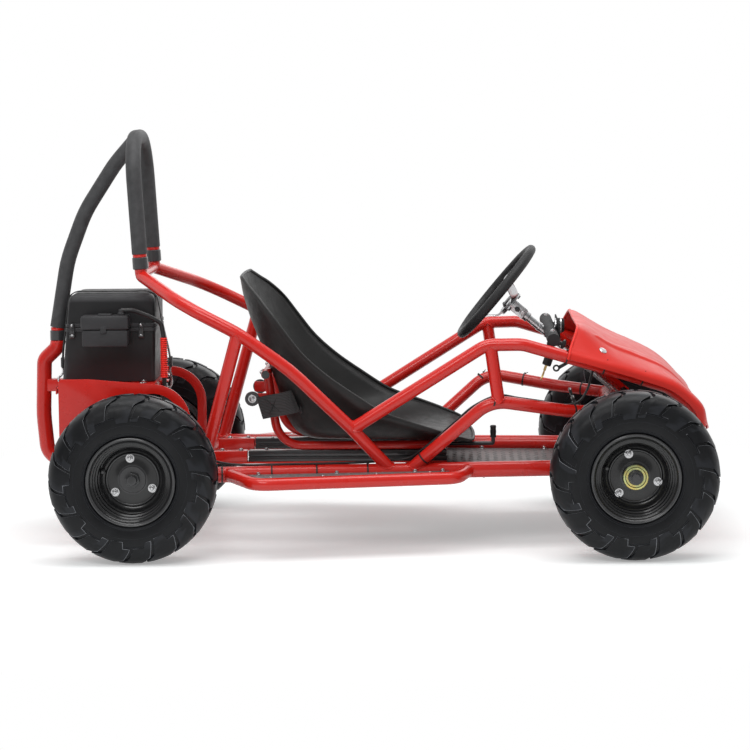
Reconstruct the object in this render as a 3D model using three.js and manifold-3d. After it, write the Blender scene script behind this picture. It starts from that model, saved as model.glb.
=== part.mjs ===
// Off road go kart: a small electric kart with a welded tube frame, roll hoop,
// bucket seat, battery box behind the seat and four knobbly tyres.
// Millimetres, +X to the front, +Y to the driver's left, +Z up.
// Origin: middle of the kart's plan, on the ground.

import * as THREE from 'three';
import { mergeVertices } from 'three/addons/utils/BufferGeometryUtils.js';
import Module from 'manifold-3d';

const wasm = await Module();
wasm.setup();

// Driving sizes

const gap = 0.3; // left between pieces that touch
const overrun = 6; // every cut runs this far past its piece

const wheelbase = 976;
const track = 710; // between the middles of the tyres
const axleMiddleX = 35; // half way between the axles, from the origin
const rearAxleX = axleMiddleX - wheelbase / 2;
const frontAxleX = axleMiddleX + wheelbase / 2;
const wheelY = track / 2;
// How far inside the middle of a front tyre these run
const inboard = { noseTop: 127, noseFront: 147, lowFront: 128, hood: 81, axleCross: 165 };

const tyre = {
  radius: 165, width: 127, beadRadius: 77, wall: 9, lugHeight: 9,
  treadHalf: 44, shoulderDrop: 16, shoulderIn: 7, lugs: 10, segments: 14, bulgeShare: 0.42,
  stationShares: [0, 0.44, 0.5, 0.94], lugSlantShare: 0.14,
};
const axleZ = tyre.radius;
const rim = {
  beadGap: 1, flangeRadius: 87, halfWidth: 60, metal: 3, flangeFlare: 5, flangeStep: 10,
  discOffset: 14, hubRadius: 26, hubInner: 24, hubOuter: 40,
};

const tube = { upper: 12.7, lower: 15.9, seat: 9 }; // outer radii
const tubeSides = 8;

// Frame stations for the left side, mirrored to the right
const railRoom = 12.6; // between a rear tyre and the main rail beside it
const railRear = { x: -350, y: wheelY - tyre.width / 2 - railRoom - tube.lower };
const railFront = { x: 640, y: 170 };
const railZ = 157;
const hoopFoot = { x: -457, y: 124, z: 558 };
const hoopTop = { x: -472, z: 821.5 };
const hoopBend = 90;
const collarLength = 24;
const padStart = 31; // bare tube and collar below the hoop's foam
const padRadius = 15.5;
const elbow = { x: -456, z: 545, bend: 20 };
const hoopCrossRadius = 9.5;
const shoulder = { x: -360, y: 275, z: 497 };
const uprightTop = { x: -250, y: 291, z: 441 };
const railKnee = { x: -150, y: 283, z: 368 };
const diagonalFoot = { x: -29, y: 249, z: 245 };
const railToe = { x: 49, z: 157 };
const uprightFootX = -330;
const gentleBend = 160;

// Front tube: diagonal, crown over the legs, then down round the nose
const crownRear = { x: 238, y: 255, z: 411 };
const crownFront = { x: 310, y: 262, z: 412 };
const scuttle = { x: 480, y: 252, z: 361 };
const noseTop = { x: 597, y: wheelY - inboard.noseTop, z: 322 };
const noseFront = { x: 652, y: wheelY - inboard.noseFront, z: 280 };
const noseFoot = { x: 668, z: 200 };
const crownBend = 60;
const noseBend = 60;

// Low tube: from the main rail over the legs to the front axle frame
const lowFoot = { x: 82, z: 160 };
const lowCrown = { x: 246, y: 257, z: 301 };
const lowFront = { x: 395, y: wheelY - inboard.lowFront, z: 276 };
const lowBend = 70;
const postTopX = 246;
const postFootX = 262;

// Side bar and its tread plate
const sideBar = {
  rearJoinX: -278, rearX: -215, rearY: 362, frontX: 180, frontY: 283, frontJoinX: 203,
  z: 151, bend: 38, plateTop: 158, plateThickness: 2.5,
};
const pan = { rearX: 72, frontX: frontAxleX - 16, z: 145, thickness: 2.5 };

// Rear stay and bumper in the middle plane
const stay = {
  kneeX: -520, kneeZ: 767, backX: -584, backZ: 669, lowX: -622, lowZ: 570,
  footX: -646, collarFoot: 402, collar: 23, footRise: 26, bumperRadius: 15.5,
  swanX: -649, swanDrop: 14, outX: -675, outZ: 364, rearX: -679, rearZ: 250,
  underX: -672, underZ: 168, inX: -635, inZ: 150, crossX: -557, crossRadius: 12.7,
};
const stayCollarTop = stay.collarFoot + stay.collar;
const staySwanZ = stay.collarFoot - stay.swanDrop;
const stayBends = { gentle: 260, swan: 22, under: 40 };

// Side plates that carry the rear axle
const plate = {
  y: 178, thickness: 4, rearX: -622, topZ: 341, frontTopX: -433, frontTopZ: 330,
  archX: -433, archZ: 253, archRadius: 77, band: 19, windowFloor: 212, footZ: 138,
  bossRadius: 30, bossLength: 16, legFootZ: 146,
};
const rearCrossX = railRear.x + tube.lower * 0.5;

// Rear axle, drive and brake
const axle = {
  radius: 12.5, runGap: 0.8, hubRadius: 26, hubReach: 43, flangeRadius: 50, flange: 6,
  nutRadius: 17.5, nutLength: 16, threadRadius: 9, tip: 6, sides: 14,
};
const studs = { count: 3, circle: 38, radius: 6, nut: 6 };
const sprocket = {
  y: 112, thickness: 5, bigTeeth: 21, smallTeeth: 7, bigRadius: 66, smallRadius: 22,
  toothDepth: 4, hubRadius: 20, hubLength: 20,
};
const chain = { width: 9, height: 9, sideGap: 0.4, arcSteps: 7 };
const motor = {
  x: -563, z: 248, radius: 50, rightY: -78, leftY: 88, shaftRadius: 7, footHeight: 12,
  footLength: 70, footWidth: 60,
};
const disc = {
  y: -62, radius: 78, thickness: 4, hubRadius: 22, hubLength: 16
};
const caliper = {
  angle: 40, inner: 60, outer: 106, width: 44, depth: 46, slot: 6, stemWidth: 12, stemThickness: 6, banjo: 6,
  stemNearShare: 0.3, stemMiddleShare: 0.72, stemFarShare: 0.78,
};

// Battery box and what holds it
const box = {
  rearX: -627, frontX: -437, topRearX: -611, topFrontX: -434, halfDepth: 84, floorZ: 325,
  seamZ: 437, topZ: 505, corner: 16, cornerCutShare: 0.3, wall: 4, topWall: 5,
};
const tray = { thickness: 3, flange: 14, rearX: -628, frontX: -431, tabX: -412, tabHalf: 15, stubHalf: 13 };
const latch = { width: 10, depth: 8, footZ: 415, topZ: 446, rearX: -604, frontX: -463 };
const controller = { rearX: -581, frontX: -484, footZ: 399, topZ: 468, depth: 46 };
const strap = { y: -46, thickness: 2.5, width: 20, clear: 1.2, footZ: 353, hookRadius: 2.5 };
const conduit = {
  x: -417, y: -90, footZ: 334, topZ: 416, bore: 5.4, valley: 6.3, rib: 7.6, ribs: 20,
  ribStartShare: 0.2, ribEndShare: 0.75, boreEndShare: 0.99,
};
const cableRadius = 4.5;
const cableBend = 18;
// The power cable's turns, from the controller to the motor
const cableRoute = [
  [-500, -110, 474], [-476, -110, 474], [-446, -104, 462], [-421, -93, 446],
  [conduit.x, conduit.y, conduit.topZ], [conduit.x, conduit.y, conduit.footZ],
  [-417, -90, 300], [-440, -74, 272], [-480, -56, 256], [-511.5, -50, 250],
];

// Steering
const column = {
  atX: 463, atZ: 329, slope: 40, radius: 8, topReach: 196, footReach: -92, runGap: 1.2,
};
const steer = {
  rimRadius: 112, grip: 10.5, rimReach: 262, hubRadius: 28, hubThickness: 8, hubReach: 232,
  spokeWidth: 24, spokeThickness: 3.5, bracketWidth: 30, bracketLength: 22, spokes: 3,
  spokeFootRatio: 1.3, spokeBendRatio: 1.2,
};
const pitman = { length: 36, thickness: 4, width: 18, pin: 4, spread: 11 };
const kingpinReach = 80; // from the wheel's middle in to the kingpin
const kingpin = {
  y: wheelY - kingpinReach, radius: 8, height: 44, sleeve: 12.5, yokePlate: 6, yokeHalf: 15, yokeDepth: 50,
};
const stub = { radius: 9, shoulder: 13, nutRadius: 15, nutLength: 9 };
const arm = { length: 64, inset: 12, width: 16, thickness: 7, bed: 0.5 };
const tieRod = { radius: 3.8, eye: 9, eyeThickness: 8, pinGap: 0.6, seatGap: 1.7 };
const beam = {
  half: 15, postY: 168, postRadius: 10, crossX: 495, crossZ: 266, crossEndY: wheelY - inboard.axleCross,
  yokeY: kingpin.y - kingpin.yokeDepth,
};

// Hood, dash and pedals
const hoodWall = 3;
const hood = {
  rearX: 404, frontX: 695, halfWidth: wheelY - inboard.hood, lowZ: 213, highZ: 454, tubeRoom: 0.8, lipTurn: 40,
};
// Half sections from the middle outward, as shares of the hood's length, half width and height,
// and where the section's lip wraps the front tube, counted in the tube's stretches
const hoodShares = [
  { skin: [[0.05, 0, 0.955], [0.05, 0.45, 0.96], [0.045, 0.785, 0.935]], along: 0.51 },
  { skin: [[0.1, 0, 0.95], [0.1, 0.45, 0.95], [0.105, 0.76, 0.915]], along: 0.74 },
  { skin: [[0.29, 0, 0.83], [0.29, 0.4, 0.825], [0.29, 0.69, 0.775]], along: 1.08 },
  { skin: [[0.48, 0, 0.725], [0.48, 0.38, 0.715], [0.48, 0.645, 0.675]], along: 1.55 },
  { skin: [[0.66, 0, 0.6], [0.66, 0.34, 0.595], [0.66, 0.6, 0.57]], along: 2.05 },
  { skin: [[0.8, 0, 0.44], [0.8, 0.3, 0.44], [0.79, 0.55, 0.435]], along: 2.6 },
  { skin: [[0.905, 0, 0.27], [0.9, 0.26, 0.275], [0.895, 0.5, 0.29]], along: 3.05 },
  { skin: [[1, 0, 0], [0.985, 0.24, 0.02], [0.975, 0.45, 0.06]], along: 3.5 },
];
const hoodInward = 1;
const dash = {
  x: 371, z: 418.5, halfLength: 262, panelX: 389, panelLow: 408, panelHigh: 440, panelHalf: 110,
  panelWall: 3, tabY: 80, tabWall: 4, gaugeY: -70, gaugeRadius: 15, gaugeLength: 10,
  lockX: 362, lockY: -214, lockRadius: 9, lockLength: 26, lockTop: 390, arm: 12,
  braceY: 24, braceLength: 208, braceRadius: 9, collarReach: 84, collarLength: 18, collarRadius: 16,
};
const keyPart = {
  radius: 3.2, lean: 20, depth: 8, shank: 10, bow: 22, bowWidth: 15, bowThickness: 3,
};
const pedal = {
  throttleY: -72, brakeY: 72, pivotX: 462, lift: 14, armHalf: 5, padWidth: 46, padHeight: 62,
  padThickness: 6, reach: 104, lean: 17, pinRadius: 5, barrel: 9, cheek: 5,
};

// Seat
const seatBase = {
  y: 100, rearX: -324, stepX: -246, frontX: 158, footZ: 158.5, stripTop: 162, topZ: 185,
  width: 26, crossX: 118, crossHalf: 11,
};
const seatFrame = {
  y: 105, frontX: 130, backX: -183, crossZ: 343, crossHalf: 140, bend: 55, barX: 120, barRadius: 5.5,
  barDrop: 1.2, crossRoom: 0.4, tabX: -236, tabZ: 292, tabRadius: 12, tabWall: 4,
};
const seat = {
  backX: -258, frontX: 213, halfWidth: 236, floorZ: 200, topZ: 540, columns: 4,
  riseShare: 3, spreadShare: 0.85, outward: 1,
};
// Rows from the top edge down and forward: middle line x, z, then lip x, y, z, as shares of the seat
const seatShares = [
  [0, 0.995, 0.012, 0.47, 0.995],
  [0.015, 0.88, 0.049, 0.66, 0.945],
  [0.045, 0.75, 0.085, 0.81, 0.9],
  [0.082, 0.63, 0.144, 0.965, 0.81],
  [0.118, 0.5, 0.208, 1, 0.69],
  [0.15, 0.37, 0.282, 0.995, 0.56],
  [0.175, 0.245, 0.378, 0.985, 0.44],
  [0.2, 0.13, 0.49, 0.98, 0.33],
  [0.25, 0.048, 0.616, 0.975, 0.218],
  [0.42, 0.024, 0.71, 0.955, 0.168],
  [0.67, 0.024, 0.843, 0.91, 0.103],
  [0.865, 0.018, 0.945, 0.79, 0.05],
  [1, 0, 0.985, 0.46, 0.012],
];
const shell = { wall: 4 };
const lever = {
  y: -58, frontX: 253, z: 190, radius: 4, gripRadius: 6.5, gripTop: 227, gripFoot: 202, bearing: 8,
  collar: 6, collarRadius: 6.4,
};
const belt = {
  width: 46, thickness: 2.5, ringRadius: 15, bore: 6, headRadius: 9.6, eye: 4,
  slotY: 166, slotZ: 285, slotIn: 26, slotOut: 14,
  buckle: 62, buckleDepth: 14, clear: 3,
};
const hoseRadius = 2.5;
// Turns of the brake hose: down from the hood to the main rail, then from the rail to the caliper
const hoseFront = [
  [455, -198, 366], [448, -200, 345], [440, -204, 318], [424, -209, 294], [400, -213, 286],
  [352, -223.5, 294], [300, -234, 303], [262, -240, 309], [214, -240, 289], [182, -233, 262],
  [146, -228, 230], [110, -220, 200],
];
// Along the rail: x, distance in from the rail's middle, z
const hoseRail = [
  [85, 16.1, 182], [39, 18.5, 176], [-15, 12.5, 174.2], [-60, 9.5, 174], [-160, 9.8, 174],
  [-250, 10, 174.2], [-300, 22.3, 180], [-338, 61.9, 192],
];
const hoseRear = [[-362, -158, 218], [-377, -122, 236], [-385.6, -98, 241], [-387, -85.5, 241.5]];

// Helpers: solids, tubes and lofts

const V = (x, y, z) => new THREE.Vector3(x, y, z);
const degrees = Math.PI / 180;
const bounded = (value, low, high) => Math.min(Math.max(value, low), high);

function toSolid(geometry) {
  const bare = geometry.index ? geometry.toNonIndexed() : geometry.clone();
  for (const name of Object.keys(bare.attributes)) {
    if (name !== 'position') bare.deleteAttribute(name);
  }
  const merged = mergeVertices(bare, gap / 1000);
  const index = merged.index.array;
  const kept = [];
  for (let i = 0; i < index.length; i += 3) {
    const [a, b, c] = [index[i], index[i + 1], index[i + 2]];
    if (a !== b && b !== c && c !== a) kept.push(a, b, c);
  }
  const solid = new wasm.Manifold(new wasm.Mesh({
    numProp: 3,
    vertProperties: new Float32Array(merged.attributes.position.array),
    triVerts: new Uint32Array(kept),
  }));
  return solid;
}

function toGeometry(solid) {
  const data = solid.getMesh();
  const geometry = new THREE.BufferGeometry();
  geometry.setAttribute('position', new THREE.BufferAttribute(Float32Array.from(data.vertProperties), 3));
  geometry.setIndex(Array.from(data.triVerts));
  geometry.computeVertexNormals();
  return geometry;
}

// A route of straight runs with a round bend at each inner corner
class Route extends THREE.Curve {
  constructor(points, bends, arcSteps = 3) {
    super();
    this.places = [points[0]];
    this.headings = [points[1].clone().sub(points[0]).normalize()];
    for (let i = 1; i < points.length - 1; i += 1) {
      const before = points[i].clone().sub(points[i - 1]);
      const after = points[i + 1].clone().sub(points[i]);
      const inward = before.clone().normalize();
      const outward = after.clone().normalize();
      const turn = inward.angleTo(outward);
      const wanted = Array.isArray(bends) ? bends[i - 1] : bends;
      const room = Math.min(before.length(), after.length()) * 0.49;
      const radius = Math.min(wanted, room / Math.tan(turn / 2));
      const tangent = radius * Math.tan(turn / 2);
      const start = points[i].clone().addScaledVector(inward, -tangent);
      const axis = inward.clone().cross(outward).normalize();
      const toCentre = axis.clone().cross(inward).normalize();
      const centre = start.clone().addScaledVector(toCentre, radius);
      const steps = Math.max(1, Math.round(arcSteps * turn / (Math.PI / 3)));
      for (let k = 0; k <= steps; k += 1) {
        const part = (turn * k) / steps;
        const spoke = toCentre.clone().negate().applyAxisAngle(axis, part);
        this.places.push(centre.clone().addScaledVector(spoke, radius));
        this.headings.push(inward.clone().applyAxisAngle(axis, part));
      }
    }
    this.places.push(points[points.length - 1]);
    const last = points[points.length - 1].clone().sub(points[points.length - 2]);
    this.headings.push(last.normalize());
    this.steps = this.places.length - 1;
  }

  getUtoTmapping(u) {
    return u;
  }

  getPoint(t, target = new THREE.Vector3()) {
    const place = bounded(t, 0, 1) * this.steps;
    const low = Math.min(Math.floor(place + 0.000001), this.steps - 1);
    return target.lerpVectors(this.places[low], this.places[low + 1], place - low);
  }

  getTangent(t, target = new THREE.Vector3()) {
    return target.copy(this.headings[Math.round(bounded(t, 0, 1) * this.steps)]);
  }
}

function disc2d(radius, sides, turn = 0) {
  const shape = new THREE.Shape();
  for (let k = 0; k < sides; k += 1) {
    const angle = (2 * Math.PI * (k + turn)) / sides;
    const [x, y] = [radius * Math.cos(angle), radius * Math.sin(angle)];
    if (k === 0) shape.moveTo(x, y);
    else shape.lineTo(x, y);
  }
  shape.closePath();
  return shape;
}

function alongRoute(route, shape) {
  return toSolid(new THREE.ExtrudeGeometry(shape, { steps: route.steps, extrudePath: route }));
}

function pipe(points, radius, bends = gentleBend, sides = tubeSides, arcSteps = 3) {
  return alongRoute(new Route(points, bends, arcSteps), disc2d(radius, sides, 0.5));
}

const straight = (from, to, radius, sides = tubeSides) => pipe([from, to], radius, 0, sides);

// A cylinder between two points
function rod(from, to, radius, sides = tubeSides) {
  const length = from.distanceTo(to);
  const geometry = new THREE.CylinderGeometry(radius, radius, length, sides);
  const turn = new THREE.Quaternion().setFromUnitVectors(V(0, 1, 0), to.clone().sub(from).normalize());
  geometry.applyQuaternion(turn);
  const middle = from.clone().add(to).multiplyScalar(0.5);
  geometry.translate(middle.x, middle.y, middle.z);
  return toSolid(geometry);
}

function block(low, high) {
  const size = high.clone().sub(low);
  const geometry = new THREE.BoxGeometry(size.x, size.y, size.z);
  const middle = high.clone().add(low).multiplyScalar(0.5);
  geometry.translate(middle.x, middle.y, middle.z);
  return toSolid(geometry);
}

// A solid of revolution about Y from a closed outline of [along, radius]
function turnedAboutY(outline, sides, place = V(0, 0, 0), direction = 1) {
  const points = outline.map(([along, radius]) => new THREE.Vector2(radius, along * direction));
  points.push(points[0].clone());
  let area = 0;
  for (let i = 0; i < points.length - 1; i += 1) {
    area += points[i].x * points[i + 1].y - points[i + 1].x * points[i].y;
  }
  if (area < 0) points.reverse();
  const geometry = new THREE.LatheGeometry(points, sides);
  geometry.translate(place.x, place.y, place.z);
  return toSolid(geometry);
}

// An outline in X and Z pulled along Y
function plateAlongY(outline, y0, y1, holes = []) {
  const shape = new THREE.Shape(outline.map(([x, z]) => new THREE.Vector2(x, z)));
  for (const hole of holes) {
    shape.holes.push(new THREE.Path(hole.map(([x, z]) => new THREE.Vector2(x, z))));
  }
  const geometry = new THREE.ExtrudeGeometry(shape, { depth: y1 - y0, bevelEnabled: false });
  geometry.rotateX(Math.PI / 2);
  geometry.translate(0, y1, 0);
  return toSolid(geometry);
}

// An outline in X and Y pulled up from z0 to z1
function slab(outline, z0, z1) {
  const shape = new THREE.Shape(outline.map(([x, y]) => new THREE.Vector2(x, y)));
  const geometry = new THREE.ExtrudeGeometry(shape, { depth: z1 - z0, bevelEnabled: false });
  geometry.translate(0, 0, z0);
  return toSolid(geometry);
}

// The outline of a strip along a flat route, half a width to each side
function stripOutline(route, half) {
  const edge = (sign) => route.map(([n, y], i) => {
    const [pn, py] = route[Math.max(i - 1, 0)];
    const [qn, qy] = route[Math.min(i + 1, route.length - 1)];
    const length = Math.hypot(qn - pn, qy - py);
    return [n - (sign * half * (qy - py)) / length, y + (sign * half * (qn - pn)) / length];
  });
  return orient([...edge(1), ...edge(-1).reverse()]);
}

// A closed skin over rings of points, with an end made of two matching halves
function loft(rings) {
  const count = rings[0].length;
  const positions = [];
  const push = (a, b, c) => positions.push(...a.toArray(), ...b.toArray(), ...c.toArray());
  for (let i = 0; i < rings.length - 1; i += 1) {
    for (let k = 0; k < count; k += 1) {
      const next = (k + 1) % count;
      push(rings[i][k], rings[i][next], rings[i + 1][next]);
      push(rings[i][k], rings[i + 1][next], rings[i + 1][k]);
    }
  }
  const cap = (ring, flip) => {
    for (let k = 0; k < count / 2 - 1; k += 1) {
      const [a, b] = [ring[k], ring[k + 1]];
      const [c, d] = [ring[count - 2 - k], ring[count - 1 - k]];
      if (flip) {
        push(a, c, b);
        push(a, d, c);
      } else {
        push(a, b, c);
        push(a, c, d);
      }
    }
  };
  cap(rings[0], true);
  cap(rings[rings.length - 1], false);
  return outward(positions);
}

const joined = (...solids) => solids.reduce((whole, next) => whole.add(next));
const less = (solid, ...cutters) => cutters.reduce((whole, next) => whole.subtract(next), solid);

// The biggest piece of a solid that its cutters leave
function trimmed(solid, ...cutters) {
  const pieces = less(solid, ...cutters).decompose();
  return pieces.reduce((best, next) => (next.volume() > best.volume() ? next : best));
}

// Materials

const paint = (color) => ({ color, roughness: 0.32, metalness: 0.1 });
const looks = {
  red: paint('#d93a30'),
  redPlastic: { color: '#e5453d', roughness: 0.22, metalness: 0 },
  foam: { color: '#3b3b3d', roughness: 0.85, metalness: 0 },
  blackPlastic: { color: '#2a2a2c', roughness: 0.6, metalness: 0 },
  blackMetal: { color: '#1d1d1f', roughness: 0.45, metalness: 0.3 },
  rubber: { color: '#2c2c2e', roughness: 0.8, metalness: 0 },
  zinc: { color: '#b9bcc0', roughness: 0.35, metalness: 0.9 },
  steel: { color: '#8e9093', roughness: 0.4, metalness: 0.9 },
  tread: { color: '#a9a6a5', roughness: 0.5, metalness: 0.8 },
  webbing: { color: '#262627', roughness: 0.9, metalness: 0 },
};

const kart = new THREE.Group();

function add(name, solid, look) {
  const mesh = new THREE.Mesh(toGeometry(solid), new THREE.MeshStandardMaterial(look));
  mesh.name = name;
  kart.add(mesh);
}

const sides = [['right', -1], ['left', 1]];
const share = (a, b, part) => a + (b - a) * part;
const railY = (x) => share(railRear.y, railFront.y, (x - railRear.x) / (railFront.x - railRear.x));

// Frame routes

const hoopRoute = [
  V(hoopFoot.x, -hoopFoot.y, hoopFoot.z + gap),
  V(hoopTop.x, -hoopFoot.y, hoopTop.z),
  V(hoopTop.x, hoopFoot.y, hoopTop.z),
  V(hoopFoot.x, hoopFoot.y, hoopFoot.z + gap),
];

function upperRailRoute(side) {
  return [
    V(hoopFoot.x, side * hoopFoot.y, hoopFoot.z),
    V(elbow.x, side * hoopFoot.y, elbow.z),
    V(shoulder.x, side * shoulder.y, shoulder.z),
    V(uprightTop.x, side * uprightTop.y, uprightTop.z),
    V(railKnee.x, side * railKnee.y, railKnee.z),
    V(diagonalFoot.x, side * diagonalFoot.y, diagonalFoot.z),
    V(railToe.x, side * railY(railToe.x), railToe.z),
  ];
}

function frontTubeRoute(side) {
  return [
    V(diagonalFoot.x, side * diagonalFoot.y, diagonalFoot.z),
    V(crownRear.x, side * crownRear.y, crownRear.z),
    V(crownFront.x, side * crownFront.y, crownFront.z),
    V(scuttle.x, side * scuttle.y, scuttle.z),
    V(noseTop.x, side * noseTop.y, noseTop.z),
    V(noseFront.x, side * noseFront.y, noseFront.z),
    V(noseFoot.x, side * railY(railFront.x), noseFoot.z),
    V(railFront.x, side * railFront.y, railZ),
  ];
}


function lowTubeRoute(side) {
  return [
    V(lowFoot.x, side * railY(lowFoot.x), railZ),
    V(lowCrown.x, side * lowCrown.y, lowCrown.z),
    V(lowFront.x, side * lowFront.y, lowFront.z),
    V(beam.crossX, side * beam.crossEndY, beam.crossZ),
  ];
}

const mainRail = (side, extra) => pipe([
  V(railRear.x, side * railRear.y, railZ),
  V(railFront.x, side * railFront.y, railZ),
  ...(side < 0 ? [V(railFront.x, -side * railFront.y, railZ)] : []),
], tube.lower + extra, tube.lower * 2);

const grown = gap; // a neighbour is grown by the gap before it cuts
const upperRailBends = [elbow.bend, gentleBend, gentleBend, gentleBend * 2, gentleBend];
const upperRail = (side, extra) => pipe(upperRailRoute(side), tube.upper + extra, upperRailBends);
const frontBends = [crownBend, crownBend, gentleBend, noseBend, noseBend, noseBend / 2];
const frontTube = (side, extra) => pipe(frontTubeRoute(side), tube.upper + extra, frontBends);
const lowTube = (side, extra) => pipe(lowTubeRoute(side), tube.upper + extra, lowBend);
const beamSolid = (extra) => block(
  V(frontAxleX - beam.half - extra, -kingpin.y + kingpin.sleeve + 2 * gap, axleZ - beam.half - extra),
  V(frontAxleX + beam.half + extra, kingpin.y - kingpin.sleeve - 2 * gap, axleZ + beam.half + extra),
);
const frontCross = (extra) => straight(
  V(beam.crossX, -beam.crossEndY - tube.upper, beam.crossZ),
  V(beam.crossX, beam.crossEndY + tube.upper, beam.crossZ),
  tube.upper + extra,
);
const rearCross = (extra) => straight(
  V(rearCrossX, -railY(rearCrossX), railZ),
  V(rearCrossX, railY(rearCrossX), railZ),
  tube.lower + extra,
);

// Main rails: the right one carries the short cross tube at the nose

function makeMainRails() {
  const right = mainRail(-1, 0);
  add('main_rail_right', right, looks.red);
  add('main_rail_left', less(mainRail(1, 0), mainRail(-1, grown)), looks.red);
  add('rear_cross_tube', less(rearCross(0), mainRail(-1, grown), mainRail(1, grown)), looks.red);
}

function makeUpperRails() {
  for (const [name, side] of sides) {
    let rail = less(upperRail(side, 0), mainRail(side, grown));
    if (side < 0) {
      const cross = straight(
        V(elbow.x, -hoopFoot.y, elbow.z), V(elbow.x, hoopFoot.y, elbow.z), hoopCrossRadius,
      );
      rail = joined(rail, less(cross, upperRail(1, grown)));
    }
    add(`upper_rail_${name}`, rail, looks.red);
    const upright = straight(
      V(uprightTop.x, side * uprightTop.y, uprightTop.z),
      V(uprightFootX, side * railY(uprightFootX), railZ),
      tube.upper,
    );
    const cutters = [upperRail(side, grown), mainRail(side, grown), rearCross(grown)];
    add(`upright_${name}`, trimmed(upright, ...cutters), looks.red);
    const front = trimmed(
      frontTube(side, 0), upperRail(side, grown), mainRail(-1, grown), mainRail(1, grown),
    );
    add(`front_tube_${name}`, front, looks.red);
  }
}

// Each low tube carries the post that stands on it under the front tube
function makeLowTubes() {
  for (const [name, side] of sides) {
    const post = straight(
      V(postTopX, side * crownRear.y, crownRear.z),
      V(postFootX, side * lowCrown.y, lowCrown.z - tube.upper / 2),
      tube.upper,
    );
    const whole = joined(lowTube(side, 0), post);
    const cutters = [frontTube(side, grown), mainRail(side, grown), frontCross(grown)];
    add(`low_tube_${name}`, trimmed(whole, ...cutters), looks.red);
  }
}

function makeHoop() {
  const hoopTube = (extra) => pipe(hoopRoute, tube.upper + extra, hoopBend);
  const lean = (height) => (hoopTop.x - hoopFoot.x) * height / (hoopTop.z - hoopFoot.z);
  let hoop = hoopTube(0);
  for (const [, side] of sides) {
    hoop = joined(hoop, straight(
      V(hoopFoot.x, side * hoopFoot.y, hoopFoot.z + gap),
      V(hoopFoot.x + lean(collarLength), side * hoopFoot.y, hoopFoot.z + collarLength),
      tube.lower,
    ));
  }
  add('roll_hoop', hoop, looks.blackMetal);
  const padFoot = (side) => V(
    hoopFoot.x + lean(padStart), side * hoopFoot.y, hoopFoot.z + padStart,
  );
  const padRoute = [padFoot(-1), hoopRoute[1], hoopRoute[2], padFoot(1)];
  const padOuter = (extra) => pipe(padRoute, padRadius + extra, hoopBend);
  const stayTube = (extra) => pipe(stayRoute(), tube.upper + extra, stayBends.gentle);
  add('hoop_pad', less(padOuter(0), hoopTube(grown), stayTube(grown)), looks.foam);

  const bumperRoute = [
    V(stay.footX, 0, stayCollarTop - collarLength),
    V(stay.swanX, 0, staySwanZ),
    V(stay.outX, 0, stay.outZ),
    V(stay.rearX, 0, stay.rearZ),
    V(stay.underX, 0, stay.underZ),
    V(stay.inX, 0, stay.inZ),
    V(stay.crossX, 0, stay.inZ),
  ];
  const bends = [stayBends.swan, stayBends.swan, stayBends.gentle, stayBends.under, stayBends.under];
  const bumper = pipe(bumperRoute, stay.bumperRadius, bends);
  const collar = straight(
    V(stay.footX, 0, stay.collarFoot), V(stay.footX, 0, stayCollarTop), tube.lower,
  );
  const cross = straight(
    V(stay.crossX, -plate.y + plate.thickness / 2 + gap, stay.inZ),
    V(stay.crossX, plate.y - plate.thickness / 2 - gap, stay.inZ),
    stay.crossRadius,
  );
  const whole = joined(trimmed(stayTube(0), hoopTube(grown)), collar, bumper, cross);
  add('rear_stay', whole, looks.red);
  const padEnd = stayRoute().slice(0, -1).concat([V(stay.footX, 0, stayCollarTop + gap)]);
  const stayPad = less(
    pipe(padEnd, padRadius, stayBends.gentle), stayTube(grown), padOuter(grown), hoopTube(grown),
  );
  add('stay_pad', stayPad, looks.foam);
}

function stayRoute() {
  return [
    V(hoopTop.x, 0, hoopTop.z),
    V(stay.kneeX, 0, stay.kneeZ),
    V(stay.backX, 0, stay.backZ),
    V(stay.lowX, 0, stay.lowZ),
    V(stay.footX, 0, stay.collarFoot + stay.footRise),
    V(stay.footX, 0, stay.collarFoot),
  ];
}

function makeSideBars() {
  for (const [name, side] of sides) {
    const route = [
      V(sideBar.rearJoinX, side * railY(sideBar.rearJoinX), railZ),
      V(sideBar.rearX, side * sideBar.rearY, sideBar.z),
      V(sideBar.frontX, side * sideBar.frontY, sideBar.z),
      V(sideBar.frontJoinX, side * railY(sideBar.frontJoinX), railZ),
    ];
    const bar = pipe(route, tube.upper, sideBar.bend);
    const outline = [
      [sideBar.rearJoinX + sideBar.bend, side * railY(sideBar.rearJoinX)],
      [sideBar.frontJoinX - sideBar.bend, side * railY(sideBar.frontJoinX)],
      [sideBar.frontX - sideBar.bend, side * sideBar.frontY],
      [sideBar.rearX + sideBar.bend, side * sideBar.rearY],
    ];
    if (side < 0) outline.reverse();
    const step = slab(outline, sideBar.plateTop - sideBar.plateThickness, sideBar.plateTop);
    const cutters = [mainRail(side, grown), lowTube(side, grown), upperRail(side, grown)];
    add(`side_bar_${name}`, trimmed(joined(bar, step), ...cutters), looks.red);
  }
  const drop = railZ - pan.z - pan.thickness / 2;
  const chord = Math.sqrt(Math.max(tube.lower ** 2 - drop ** 2, 0)) + 2 * gap;
  const corner = (x, side) => [x, side * (railY(x) - chord)];
  const outline = [
    corner(pan.rearX, -1), corner(pan.frontX, -1), corner(pan.frontX, 1), corner(pan.rearX, 1),
  ];
  const plain = slab(outline, pan.z - pan.thickness / 2, pan.z + pan.thickness / 2);
  const cheeks = [pedal.throttleY, pedal.brakeY].map(pedalCheeks);
  add('floor_pan', trimmed(joined(plain, ...cheeks), mainRail(-1, grown), mainRail(1, grown)), looks.tread);
}

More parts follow.
